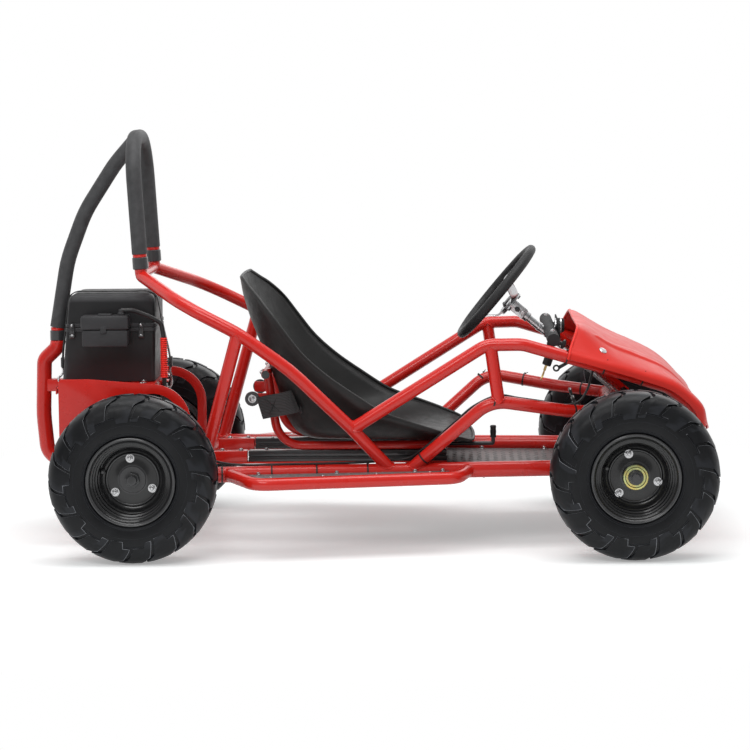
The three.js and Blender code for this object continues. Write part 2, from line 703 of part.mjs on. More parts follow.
// Side plates: a solid rear half with the axle's boss, and a round arch in front
function makeSidePlates() {
  const arc = (radius, from, to, count) => Array.from({ length: count + 1 }, (_, k) => {
    const angle = share(from, to, k / count);
    return [plate.archX + radius * Math.cos(angle), plate.archZ + radius * Math.sin(angle)];
  });
  const outline = [
    [plate.rearX, plate.footZ],
    [plate.archX + plate.archRadius - plate.band, plate.footZ],
    [plate.archX + plate.archRadius, plate.legFootZ],
    ...arc(plate.archRadius, 0, Math.PI / 2, 5),
    [plate.rearX, plate.topZ],
  ];
  const inner = plate.archRadius - plate.band;
  const window = [
    [plate.archX - inner, plate.windowFloor],
    [plate.archX + inner, plate.windowFloor],
    ...arc(inner, 0, Math.PI, 8),
  ];
  for (const [name, side] of sides) {
    const [y0, y1] = [side * plate.y - plate.thickness / 2, side * plate.y + plate.thickness / 2];
    const sheet = plateAlongY(outline, y0, y1, [window]);
    const inside = side * (plate.y - plate.thickness / 2);
    const boss = rod(
      V(rearAxleX, side * (plate.y + plate.thickness / 2), axleZ),
      V(rearAxleX, inside - side * (plate.bossLength - plate.thickness), axleZ),
      plate.bossRadius, 12,
    );
    const bore = rod(
      V(rearAxleX, side * (plate.y + overrun), axleZ),
      V(rearAxleX, side * (plate.y - plate.bossLength - overrun), axleZ),
      axle.radius + axle.runGap, 12,
    );
    add(`side_plate_${name}`, less(joined(sheet, boss), bore, rearCross(grown)), looks.red);
  }
}

// Battery tray with its stub to the rear stay, the box, its lid and latches
function makeBattery() {
  const halfWidth = plate.y - plate.thickness / 2 - gap;
  const top = box.floorZ - gap;
  const floor = block(
    V(tray.rearX, -halfWidth, top - tray.thickness), V(tray.frontX, halfWidth, top),
  );
  const lip = (x0, x1) => block(V(x0, -halfWidth, top - tray.flange), V(x1, halfWidth, top));
  const stub = block(
    V(stay.outX, -tray.stubHalf, top - 2 * tray.stubHalf),
    V(tray.rearX + tray.thickness, tray.stubHalf, top),
  );
  const tab = block(
    V(tray.frontX - tray.thickness, strap.y - tray.tabHalf, top - tray.flange),
    V(tray.tabX, strap.y + tray.tabHalf, top),
  );
  const bumper = pipe([
    V(stay.footX, 0, stayCollarTop - collarLength), V(stay.swanX, 0, staySwanZ),
    V(stay.outX, 0, stay.outZ), V(stay.rearX, 0, stay.rearZ), V(stay.underX, 0, stay.underZ),
  ], stay.bumperRadius + grown, [stayBends.swan, stayBends.swan, stayBends.gentle]);
  const stubTrimmed = trimmed(stub, bumper);
  const whole = joined(
    floor, lip(tray.rearX, tray.rearX + tray.thickness), lip(tray.frontX - tray.thickness, tray.frontX),
    stubTrimmed, tab,
  );
  add('battery_tray', whole, looks.red);

  const boxRing = (z, inset) => {
    const part = (z - box.floorZ) / (box.topZ - box.floorZ);
    const x0 = share(box.rearX, box.topRearX, part) + inset;
    const x1 = share(box.frontX, box.topFrontX, part) - inset;
    const y = box.halfDepth - inset;
    const c = box.corner - Math.min(inset, box.corner / 2);
    const cut = c * box.cornerCutShare;
    const ring = [
      [x0, -y + c], [x0 + cut, -y + cut], [x0 + c, -y], [x1 - c, -y], [x1 - cut, -y + cut], [x1, -y + c],
      [x1, y - c], [x1 - cut, y - cut], [x1 - c, y], [x0 + c, y], [x0 + cut, y - cut], [x0, y - c],
    ];
    return ring.map(([x, yy]) => V(x, yy, z));
  };
  const casing = loft([boxRing(box.floorZ, 0), boxRing(box.seamZ, 0)]);
  const hollow = loft([
    boxRing(box.floorZ + box.wall, box.wall), boxRing(box.seamZ + overrun, box.wall),
  ]);
  const control = block(
    V(controller.rearX, -box.halfDepth - controller.depth, controller.footZ),
    V(controller.frontX, -box.halfDepth + box.wall / 2, box.seamZ),
  );
  const controlTop = block(
    V(controller.rearX, -box.halfDepth - controller.depth, box.seamZ - box.wall),
    V(controller.frontX, -box.halfDepth - 2 * gap, controller.topZ),
  );
  add('battery_case', joined(less(casing, hollow), control, controlTop), looks.blackPlastic);
  const lidFoot = box.seamZ + gap;
  const lid = loft([
    boxRing(lidFoot, 0), boxRing(box.topZ - box.corner, 0),
    boxRing(box.topZ - box.corner * box.cornerCutShare, box.corner * box.cornerCutShare),
    boxRing(box.topZ, box.corner),
  ]);
  const lidHollow = loft([
    boxRing(lidFoot - overrun, box.wall), boxRing(box.topZ - box.corner, box.wall),
    boxRing(box.topZ - box.topWall, box.corner),
  ]);
  add('battery_lid', less(lid, lidHollow), looks.blackPlastic);
  for (const [name, x] of [['front', latch.frontX], ['rear', latch.rearX]]) {
    const face = -box.halfDepth - gap;
    const pivot = { y: face - latch.depth / 2, z: latch.footZ + latch.depth / 2 };
    const body = block(
      V(x - latch.width / 2, face - latch.depth, pivot.z), V(x + latch.width / 2, face, latch.topZ),
    );
    const knuckle = rod(
      V(x - latch.width / 2, pivot.y, pivot.z), V(x + latch.width / 2, pivot.y, pivot.z),
      latch.depth / 2, 12,
    );
    add(`lid_latch_${name}`, joined(body, knuckle), looks.blackPlastic);
  }
}

// The stretch strap over the lid, with a hook at each end that grips the tray's edge
function makeStrap() {
  const slope = (z) => (z - box.floorZ) / (box.topZ - box.floorZ);
  const off = strap.clear + strap.thickness / 2;
  const turnZ = box.topZ - box.corner;
  const rearTop = share(box.rearX, box.topRearX, slope(turnZ));
  const frontTop = share(box.frontX, box.topFrontX, slope(turnZ));
  const rearHook = tray.rearX - gap - strap.hookRadius;
  const frontHook = tray.tabX + gap + strap.hookRadius;
  const outline = stripOutline([
    [rearHook, strap.footZ], [rearTop - off, turnZ],
    [box.topRearX + box.corner / 3, box.topZ + off], [box.topFrontX - box.corner / 3, box.topZ + off],
    [frontTop + off, turnZ], [frontHook, strap.footZ],
  ], strap.thickness / 2);
  const band = plateAlongY(outline, strap.y - strap.width / 2, strap.y + strap.width / 2);
  const hook = (x) => rod(
    V(x, strap.y, strap.footZ + strap.hookRadius * 2), V(x, strap.y, box.floorZ - tray.flange),
    strap.hookRadius, 8,
  );
  add('hold_down_strap', joined(band, hook(rearHook), hook(frontHook)), looks.webbing);
}

// The leads: one thick cable from the controller, down through a ribbed sleeve, to the motor
function makeLeads() {
  const outline = [];
  const pitch = (conduit.topZ - conduit.footZ) / conduit.ribs;
  for (let k = 0; k < conduit.ribs; k += 1) {
    const z = conduit.footZ + k * pitch;
    outline.push([z + pitch * conduit.ribStartShare, conduit.rib]);
    outline.push([z + pitch * conduit.ribEndShare, conduit.valley]);
  }
  const profile = outline.map(([z, radius]) => new THREE.Vector2(radius, z));
  for (let k = conduit.ribs; k >= 0; k -= 5) {
    profile.push(new THREE.Vector2(conduit.bore, conduit.footZ + k * pitch * conduit.boreEndShare));
  }
  profile.push(profile[0].clone());
  const sleeve = new THREE.LatheGeometry(profile, 8);
  sleeve.rotateX(Math.PI / 2);
  sleeve.translate(conduit.x, conduit.y, 0);
  const ribbed = toSolid(sleeve);
  if (ribbed.volume() < 0) throw new Error('sleeve is inside out');
  add('cable_conduit', ribbed, looks.redPlastic);

  const curve = new Route(cableRoute.map((turn) => V(...turn)), cableBend, 3);
  add('power_cable', alongRoute(curve, disc2d(cableRadius, 8, 0.5)), looks.rubber);
}

// Wheels: a hollow tyre with staggered lugs, and a flanged rim with its disc

// Sections round the tyre: each half is high on its own lugs and low between them
function makeTyre(name, x, side) {
  const { radius, width, beadRadius, wall, lugHeight, shoulderDrop } = tyre;
  const half = width / 2;
  const carcass = radius - lugHeight;
  const beadHalf = rim.halfWidth - rim.flangeFlare - rim.beadGap;
  const bulge = share(beadRadius, carcass, tyre.bulgeShare);
  const halfSection = (onLug) => {
    const crown = onLug ? radius : carcass;
    return [
      [tyre.treadHalf, crown], [half - tyre.shoulderIn / 2, crown - shoulderDrop],
      [half - (onLug ? 0 : tyre.shoulderIn / 2), bulge], [beadHalf, beadRadius],
    ];
  };
  const inside = [[-beadHalf + wall, beadRadius], [0, carcass - wall], [beadHalf - wall, beadRadius]];
  const rings = [];
  const pitch = (2 * Math.PI) / tyre.lugs;
  for (let k = 0; k < tyre.lugs; k += 1) {
    tyre.stationShares.forEach((part, step) => {
      const angle = (k + part) * pitch;
      const near = halfSection(step === 0 || step === 1);
      const far = halfSection(step === 2 || step === 3).map(([y, z]) => [-y, z]);
      const section = [...near, ...inside.slice().reverse(), ...far.reverse()];
      rings.push(section.map(([y, z], i) => {
        const own = i < near.length + inside.length / 2 ? tyre.lugSlantShare : -tyre.lugSlantShare;
        const slant = (z > bulge + wall ? own : 0) * pitch * (y / half);
        const turn = angle + slant;
        return V(z * Math.sin(turn), y, -z * Math.cos(turn));
      }));
    });
  }
  add(name, ringSolid(rings).translate([x, side * wheelY, axleZ]), looks.rubber);
}

// A closed skin over sections that go all the way round
function ringSolid(rings) {
  const count = rings[0].length;
  const positions = [];
  for (let i = 0; i < rings.length; i += 1) {
    const here = rings[i];
    const there = rings[(i + 1) % rings.length];
    for (let k = 0; k < count; k += 1) {
      const next = (k + 1) % count;
      positions.push(...here[k].toArray(), ...here[next].toArray(), ...there[next].toArray());
      positions.push(...here[k].toArray(), ...there[next].toArray(), ...there[k].toArray());
    }
  }
  return outward(positions);
}

// A solid from triangles, turned right side out
function outward(positions) {
  const geometry = new THREE.BufferGeometry();
  geometry.setAttribute('position', new THREE.Float32BufferAttribute(positions, 3));
  const solid = toSolid(geometry);
  if (solid.volume() > 0) return solid;
  const flipped = [];
  for (let i = 0; i < positions.length; i += 9) {
    flipped.push(...positions.slice(i, i + 3), ...positions.slice(i + 6, i + 9));
    flipped.push(...positions.slice(i + 3, i + 6));
  }
  geometry.setAttribute('position', new THREE.Float32BufferAttribute(flipped, 3));
  return toSolid(geometry);
}

function makeRim(name, x, side, driven) {
  const { flangeRadius, halfWidth, metal, flangeFlare, flangeStep, discOffset } = rim;
  const barrel = tyre.beadRadius - rim.beadGap;
  const inner = barrel - metal;
  const bore = driven ? axle.radius + axle.runGap : stub.radius + axle.runGap;
  const outline = [
    [-halfWidth, flangeRadius], [-halfWidth + flangeFlare, barrel],
    [halfWidth - flangeFlare, barrel], [halfWidth, flangeRadius],
    [halfWidth, flangeRadius - metal], [halfWidth - flangeFlare, inner],
    [discOffset + metal, inner - flangeStep / 2], [discOffset + metal, bore], [discOffset, bore],
    [discOffset, inner], [-halfWidth + flangeFlare, inner], [-halfWidth, flangeRadius - metal],
  ];
  let solid = turnedAboutY(outline, tyre.segments, V(0, 0, 0), side);
  if (!driven) {
    const boss = rod(V(0, -side * rim.hubInner, 0), V(0, side * rim.hubOuter, 0), rim.hubRadius, 12);
    const through = rod(V(0, -side * halfWidth, 0), V(0, side * halfWidth, 0), bore, 12);
    solid = less(joined(solid, boss), through);
  } else {
    for (let k = 0; k < studs.count; k += 1) {
      const angle = (2 * Math.PI * (k + 1 / 2)) / studs.count;
      const [dx, dz] = [studs.circle * Math.cos(angle), studs.circle * Math.sin(angle)];
      solid = less(solid, rod(
        V(dx, side * (discOffset - overrun), dz), V(dx, side * (discOffset + overrun), dz),
        studs.radius + axle.runGap, 6,
      ));
    }
  }
  add(name, solid.translate([x, side * wheelY, axleZ]), looks.blackMetal);
}

function makeWheels() {
  for (const [name, side] of sides) {
    makeTyre(`tyre_front_${name}`, frontAxleX, side);
    makeRim(`rim_front_${name}`, frontAxleX, side, false);
    makeTyre(`tyre_rear_${name}`, rearAxleX, side);
    makeRim(`rim_rear_${name}`, rearAxleX, side, true);
  }
}

// Rear axle with its wheel hubs and brake disc, the sprockets, chain, motor and caliper

function makeRearAxle() {
  const discFace = wheelY + rim.discOffset;
  const nutStart = discFace + rim.metal + gap;
  const nutEnd = nutStart + axle.nutLength;
  const flangeFace = discFace - gap;
  const hubInner = wheelY - axle.hubReach;
  const end = (side) => [
    [side * hubInner, axle.radius], [side * hubInner, axle.hubRadius],
    [side * (flangeFace - axle.flange), axle.hubRadius],
    [side * (flangeFace - axle.flange), axle.flangeRadius],
    [side * flangeFace, axle.flangeRadius], [side * flangeFace, axle.radius],
    [side * nutStart, axle.radius], [side * nutStart, axle.nutRadius], [side * nutEnd, axle.nutRadius],
    [side * nutEnd, axle.threadRadius], [side * (nutEnd + axle.tip), axle.threadRadius],
  ];
  const [discRight, discLeft] = [disc.y - disc.thickness / 2, disc.y + disc.thickness / 2];
  const middle = [
    [disc.y - disc.hubLength / 2, axle.radius], [disc.y - disc.hubLength / 2, disc.hubRadius],
    [discRight, disc.hubRadius], [discRight, disc.radius], [discLeft, disc.radius],
    [discLeft, disc.hubRadius], [disc.y + disc.hubLength / 2, disc.hubRadius],
    [disc.y + disc.hubLength / 2, axle.radius],
  ];
  const outline = [
    [-(nutEnd + axle.tip), 0], ...end(-1).reverse(), ...middle, ...end(1), [nutEnd + axle.tip, 0],
  ].map(([y, r]) => new THREE.Vector2(r, y));
  const geometry = new THREE.LatheGeometry(outline, axle.sides);
  geometry.translate(rearAxleX, 0, axleZ);
  const parts = [];
  for (const [, side] of sides) {
    for (let k = 0; k < studs.count; k += 1) {
      const angle = (2 * Math.PI * (k + 1 / 2)) / studs.count;
      const place = (y) => V(
        rearAxleX + studs.circle * Math.cos(angle), side * y, axleZ + studs.circle * Math.sin(angle),
      );
      parts.push(rod(place(discFace - axle.flange), place(nutStart + studs.nut), studs.radius, 6));
    }
  }
  add('rear_axle', joined(toSolid(geometry), ...parts), looks.steel);
}

function toothed(x, z, teeth, radius, y, thickness) {
  const outline = [];
  for (let k = 0; k < teeth; k += 1) {
    for (const [part, r] of [[0, radius - sprocket.toothDepth], [1 / 2, radius]]) {
      const angle = (2 * Math.PI * (k + part)) / teeth;
      outline.push([x + r * Math.cos(angle), z + r * Math.sin(angle)]);
    }
  }
  return plateAlongY(outline, y - thickness / 2, y + thickness / 2);
}

function makeDrive() {
  const big = toothed(
    rearAxleX, axleZ, sprocket.bigTeeth, sprocket.bigRadius, sprocket.y, sprocket.thickness,
  );
  const hub = rod(
    V(rearAxleX, sprocket.y - sprocket.hubLength / 2, axleZ),
    V(rearAxleX, sprocket.y + sprocket.hubLength / 2, axleZ), sprocket.hubRadius, 12,
  );
  const bore = rod(
    V(rearAxleX, sprocket.y - sprocket.hubLength, axleZ),
    V(rearAxleX, sprocket.y + sprocket.hubLength, axleZ), axle.radius + axle.runGap, 12,
  );
  add('axle_sprocket', less(joined(big, hub), bore), looks.steel);
  const small = toothed(
    motor.x, motor.z, sprocket.smallTeeth, sprocket.smallRadius, sprocket.y, sprocket.thickness,
  );
  const shaft = rod(
    V(motor.x, motor.leftY + gap, motor.z),
    V(motor.x, sprocket.y + sprocket.hubLength / 2, motor.z), motor.shaftRadius, 12,
  );
  add('motor_sprocket', joined(small, shaft), looks.steel);

  const run = Math.atan2(motor.z - axleZ, motor.x - rearAxleX);
  const reach = Math.hypot(motor.z - axleZ, motor.x - rearAxleX);
  const lean = Math.acos((sprocket.bigRadius - sprocket.smallRadius) / reach);
  const loop = (extra, steps) => {
    const points = [];
    const sweep = (cx, cz, r, from, to, count) => {
      for (let k = 0; k <= count; k += 1) {
        const angle = share(from, to, k / count);
        points.push([cx + r * Math.cos(angle), cz + r * Math.sin(angle)]);
      }
    };
    const widened = chain.sideGap + extra;
    sweep(rearAxleX, axleZ, sprocket.bigRadius + widened, run + lean, run + 2 * Math.PI - lean, steps * 2);
    sweep(motor.x, motor.z, sprocket.smallRadius + widened, run - lean, run + lean, steps);
    return points;
  };
  const chordRoom = 1 / Math.cos((Math.PI - lean) / (2 * chain.arcSteps));
  const insideExtra = (sprocket.bigRadius + chain.sideGap) * (chordRoom - 1);
  const band = plateAlongY(
    loop(insideExtra + chain.height, chain.arcSteps),
    sprocket.y - chain.width / 2, sprocket.y + chain.width / 2,
    [loop(insideExtra, chain.arcSteps)],
  );
  add('drive_chain', band, looks.steel);

  const body = rod(V(motor.x, motor.rightY, motor.z), V(motor.x, motor.leftY, motor.z), motor.radius, 24);
  const trayUnder = box.floorZ - gap - tray.thickness;
  const foot = block(
    V(motor.x - motor.footWidth / 2, -motor.footLength / 2, motor.z + motor.radius / 2),
    V(motor.x + motor.footWidth / 2, motor.footLength / 2, trayUnder - gap),
  );
  add('drive_motor', joined(body, foot), looks.zinc);
}

function makeCaliper() {
  const half = caliper.width / 2;
  let solid = block(
    V(caliper.inner, disc.y - caliper.depth / 2, -half), V(caliper.outer, disc.y + caliper.depth / 2, half),
  );
  const slot = block(
    V(caliper.inner - overrun, disc.y - caliper.slot / 2, -half - overrun),
    V(disc.radius + caliper.slot / 2, disc.y + caliper.slot / 2, half + overrun),
  );
  solid = less(solid, slot);
  const turn = (shape) => shape.rotate([0, -caliper.angle, 0]).translate([rearAxleX, 0, axleZ]);
  const outside = disc.y - caliper.slot / 2 - caliper.stemWidth;
  const stem = plateAlongY([
    [rearAxleX + caliper.outer * caliper.stemMiddleShare, axleZ + caliper.outer * caliper.stemNearShare],
    [rearCrossX, railZ - caliper.stemWidth / 2], [rearCrossX, railZ + caliper.stemWidth],
    [rearAxleX + caliper.outer * caliper.stemFarShare, axleZ + caliper.outer * caliper.stemMiddleShare],
  ], outside, outside + caliper.stemThickness);
  const union = rod(
    V(caliper.outer - overrun, outside - caliper.banjo, half - caliper.banjo),
    V(caliper.outer - overrun, disc.y, half - caliper.banjo), caliper.banjo, 8,
  );
  add('brake_caliper', trimmed(joined(turn(joined(solid, union)), stem), rearCross(grown)), looks.zinc);
}

// Front axle frame, spindles and tie rods

function makeFrontAxle() {
  let solid = joined(beamSolid(0), frontCross(0));
  for (const [, side] of sides) {
    solid = joined(solid, straight(
      V(frontAxleX, side * beam.postY, axleZ), V(beam.crossX, side * beam.postY, beam.crossZ),
      beam.postRadius,
    ));
    const lug = (z0, z1) => joined(
      rod(V(frontAxleX, side * kingpin.y, z0), V(frontAxleX, side * kingpin.y, z1), kingpin.yokeHalf, 10),
      block(
        V(frontAxleX - beam.half, Math.min(side * beam.yokeY, side * kingpin.y), z0),
        V(frontAxleX + beam.half, Math.max(side * beam.yokeY, side * kingpin.y), z1),
      ),
    );
    const inner = kingpin.height / 2 + gap;
    const outer = inner + kingpin.yokePlate;
    const webEnd = kingpin.y - kingpin.sleeve - 2 * gap;
    const web = block(
      V(frontAxleX - beam.half, Math.min(side * beam.yokeY, side * webEnd), axleZ - outer),
      V(frontAxleX + beam.half, Math.max(side * beam.yokeY, side * webEnd), axleZ + outer),
    );
    const yoke = joined(lug(axleZ + inner, axleZ + outer), lug(axleZ - outer, axleZ - inner), web);
    const hole = rod(
      V(frontAxleX, side * kingpin.y, axleZ - outer - overrun),
      V(frontAxleX, side * kingpin.y, axleZ + outer + overrun), kingpin.radius + axle.runGap, 8,
    );
    solid = less(joined(solid, yoke), hole);
  }
  add('front_axle_frame', trimmed(solid, mainRail(-1, grown), mainRail(1, grown)), looks.red);
}

const armTopZ = axleZ + kingpin.height / 2 + kingpin.yokePlate + gap + kingpin.radius + arm.thickness;
const armEnd = (side) => V(
  frontAxleX - Math.sqrt(arm.length ** 2 - arm.inset ** 2), side * (kingpin.y - arm.inset), armTopZ,
);

const columnDown = V(Math.cos(column.slope * degrees), 0, -Math.sin(column.slope * degrees));
const columnPoint = (reach) => V(column.atX, 0, column.atZ).addScaledVector(columnDown, reach);
const columnFoot = -column.footReach;
const pitmanHead = columnPoint(columnFoot);
const pitmanEnd = pitmanHead.clone().add(
  V(-Math.sin(column.slope * degrees), 0, -Math.cos(column.slope * degrees)).multiplyScalar(pitman.length),
);

function makeSpindles() {
  const hubEnd = wheelY + rim.hubOuter + gap;
  for (const [name, side] of sides) {
    const at = (y) => V(frontAxleX, side * y, axleZ);
    const pinHalf = kingpin.height / 2 + kingpin.yokePlate + 2 * gap;
    const capHeight = kingpin.radius / 2;
    const upright = (r, z0, z1, count) => rod(
      V(frontAxleX, side * kingpin.y, z0), V(frontAxleX, side * kingpin.y, z1), r, count,
    );
    const end = armEnd(side);
    const armSolid = slab(orient([
      [frontAxleX, side * kingpin.y - arm.width / 2], [end.x, end.y - arm.width / 2],
      [end.x, end.y + arm.width / 2], [frontAxleX, side * kingpin.y + arm.width / 2],
    ]), armTopZ - arm.thickness - arm.bed, armTopZ);
    const lift = kingpin.height / 2 + kingpin.yokePlate + gap;
    const solid = joined(
      upright(kingpin.sleeve, axleZ - kingpin.height / 2, axleZ + kingpin.height / 2, 10),
      upright(kingpin.radius, axleZ - pinHalf, armTopZ - arm.thickness, 8),
      upright(kingpin.sleeve, axleZ + lift + gap, armTopZ - arm.thickness, 10),
      upright(kingpin.sleeve, axleZ - pinHalf - capHeight, axleZ - pinHalf, 6),
      rod(at(kingpin.y), at(wheelY - rim.hubInner - gap), stub.shoulder, 10),
      rod(at(kingpin.y), at(hubEnd + stub.nutLength + axle.tip), stub.radius, 8),
      rod(at(hubEnd), at(hubEnd + stub.nutLength), stub.nutRadius, 6),
    );
    add(`spindle_${name}`, joined(solid, armSolid.subtract(pinHole(end))), looks.blackMetal);
  }
}

const orient = (outline) => {
  let area = 0;
  for (let i = 0; i < outline.length; i += 1) {
    const [x0, y0] = outline[i];
    const [x1, y1] = outline[(i + 1) % outline.length];
    area += x0 * y1 - x1 * y0;
  }
  return area < 0 ? outline.slice().reverse() : outline;
};

function pinHole(end) {
  return rod(
    V(end.x, end.y, armTopZ - arm.thickness - overrun), V(end.x, end.y, armTopZ + overrun),
    pitman.pin + tieRod.pinGap, 8,
  );
}

function makeTieRods() {
  for (const [name, side] of sides) {
    const end = armEnd(side);
    const outerZ = armTopZ + gap;
    const eye = rod(V(end.x, end.y, outerZ), V(end.x, end.y, outerZ + tieRod.eyeThickness), tieRod.eye, 8);
    const pin = rod(
      V(end.x, end.y, armTopZ - arm.thickness - gap), V(end.x, end.y, outerZ + gap), pitman.pin, 6,
    );
    const seatReach = pitman.thickness / 2 + tieRod.seatGap;
    const inner = pitmanEnd.clone().addScaledVector(columnDown, seatReach);
    inner.y = side * pitman.spread;
    const innerFar = inner.clone().addScaledVector(columnDown, tieRod.eyeThickness);
    const innerEye = rod(inner, innerFar, tieRod.eye, 8);
    const middle = inner.clone().lerp(innerFar, 1 / 2);
    const bar = rod(V(end.x, end.y, outerZ + tieRod.eyeThickness / 2), middle, tieRod.radius, 6);
    add(`tie_rod_${name}`, joined(eye, pin, bar, innerEye), looks.zinc);
  }
}

// Steering column and wheel

function makeSteering() {
  const top = columnPoint(-column.topReach);
  const shaft = rod(top, columnPoint(columnFoot + pitman.thickness), column.radius, 12);
  const out = V(-Math.sin(column.slope * degrees), 0, -Math.cos(column.slope * degrees));
  const plateLength = pitman.length + pitman.width / 2;
  const headWidth = 2 * pitman.spread + pitman.width;
  const frame = new THREE.Matrix4().makeBasis(out, V(0, 1, 0), out.clone().cross(V(0, 1, 0)));
  const place = (geometry, at) => {
    geometry.applyMatrix4(frame);
    geometry.translate(at.x, at.y, at.z);
    return toSolid(geometry);
  };
  const lever = new THREE.BoxGeometry(plateLength + column.radius, pitman.width, pitman.thickness);
  lever.translate((plateLength - column.radius) / 2, 0, 0);
  const plateSolid = place(lever, pitmanHead);
  const head = place(new THREE.BoxGeometry(pitman.width, headWidth, pitman.thickness), pitmanEnd);
  const hubFace = steer.hubReach - steer.hubThickness - gap;
  const flange = rod(
    columnPoint(-hubFace), columnPoint(-hubFace + steer.spokeThickness), steer.hubRadius, 20,
  );
  const bracket = new THREE.BoxGeometry(
    steer.bracketLength, steer.bracketWidth, hubFace - column.topReach + column.radius,
  );
  const bracketSolid = place(bracket, columnPoint(-(hubFace + column.topReach - column.radius) / 2));
  add('steering_shaft', joined(shaft, plateSolid, head, flange, bracketSolid), looks.zinc);

  const ring = new THREE.TorusGeometry(steer.rimRadius, steer.grip, 6, 18);
  const hub = new THREE.CylinderGeometry(steer.hubRadius, steer.hubRadius, steer.hubThickness, 20);
  hub.rotateX(Math.PI / 2);
  const dish = steer.rimReach - steer.hubReach;
  hub.translate(0, 0, -dish + -steer.hubThickness / 2);
  let wheel = joined(toSolid(ring), toSolid(hub));
  for (let k = 0; k < steer.spokes; k += 1) {
    const angle = Math.PI + (2 * Math.PI * k) / steer.spokes;
    const outer = steer.rimRadius - steer.grip / 4;
    const t = steer.spokeThickness;
    const low = -dish - steer.hubThickness + t;
    const profile = new THREE.Shape([
      [0, low - t], [steer.hubRadius * steer.spokeFootRatio, low - t],
      [outer - steer.grip, -t], [outer, -t],
      [outer, 0], [outer - steer.grip * steer.spokeBendRatio, 0],
      [steer.hubRadius * steer.spokeBendRatio, low], [0, low],
    ].map(([r, z]) => new THREE.Vector2(r, z)));
    const spoke = new THREE.ExtrudeGeometry(profile, { depth: steer.spokeWidth, bevelEnabled: false });
    spoke.translate(0, 0, -steer.spokeWidth / 2);
    spoke.rotateX(Math.PI / 2);
    spoke.rotateZ(angle);
    wheel = joined(wheel, toSolid(spoke));
  }
  const centre = columnPoint(-steer.rimReach);
  const turned = wheel.rotate([0, -(90 - column.slope), 0]).translate([centre.x, 0, centre.z]);
  add('steering_wheel', turned, looks.blackPlastic);
}

// A shell of even wall over a grid of points; inward picks the side the wall grows to
function shellOver(grid, wall, inward) {
  const rings = [];
  for (let i = 0; i < grid.length; i += 1) {
    const row = grid[i];
    const before = grid[Math.max(i - 1, 0)];
    const after = grid[Math.min(i + 1, grid.length - 1)];
    const outer = row.map((point, k) => {
      const across = row[Math.min(k + 1, row.length - 1)].clone().sub(row[Math.max(k - 1, 0)]);
      const along = after[k].clone().sub(before[k]);
      const normal = across.cross(along).normalize().multiplyScalar(wall * inward);
      return point.clone().add(normal);
    });
    rings.push([...row, ...outer.reverse()]);
  }
  return loft(rings);
}

// A place on the left front tube's stretches over the legs, with its sideways and upward directions
function frontTubeAt(along) {
  const stretch = frontTubeRoute(1).slice(2);
  const low = Math.floor(along);
  const place = stretch[low].clone().lerp(stretch[low + 1], along - low);
  const heading = stretch[low + 1].clone().sub(stretch[low]).normalize();
  const out = V(0, 1, 0).addScaledVector(heading, -heading.y).normalize();
  return { place, out, up: heading.cross(out) };
}

// Hood: a skin whose lips wrap over the front tubes
function makeHood() {
  const x = (part) => share(hood.rearX, hood.frontX, part);
  const z = (part) => share(hood.lowZ, hood.highZ, part);
  const halfTurn = (hood.lipTurn / 2) * degrees;
  const reach = (tube.upper + hood.tubeRoom + hoodWall) / Math.cos(halfTurn);
  const grid = hoodShares.map(({ skin, along }) => {
    const { place, out, up } = frontTubeAt(along);
    const lips = [2, 1, 0].map((step) => {
      const angle = (step - 1 / 8) * hood.lipTurn * degrees;
      return place.clone()
        .addScaledVector(out, reach * Math.cos(angle))
        .addScaledVector(up, reach * Math.sin(angle));
    });
    const left = [...skin.map(([px, py, pz]) => V(x(px), hood.halfWidth * py, z(pz))), ...lips];
    const right = left.slice(1).reverse().map((point) => V(point.x, -point.y, point.z));
    return [...right, ...left];
  });
  add('hood', shellOver(grid, hoodWall, hoodInward), looks.redPlastic);
}

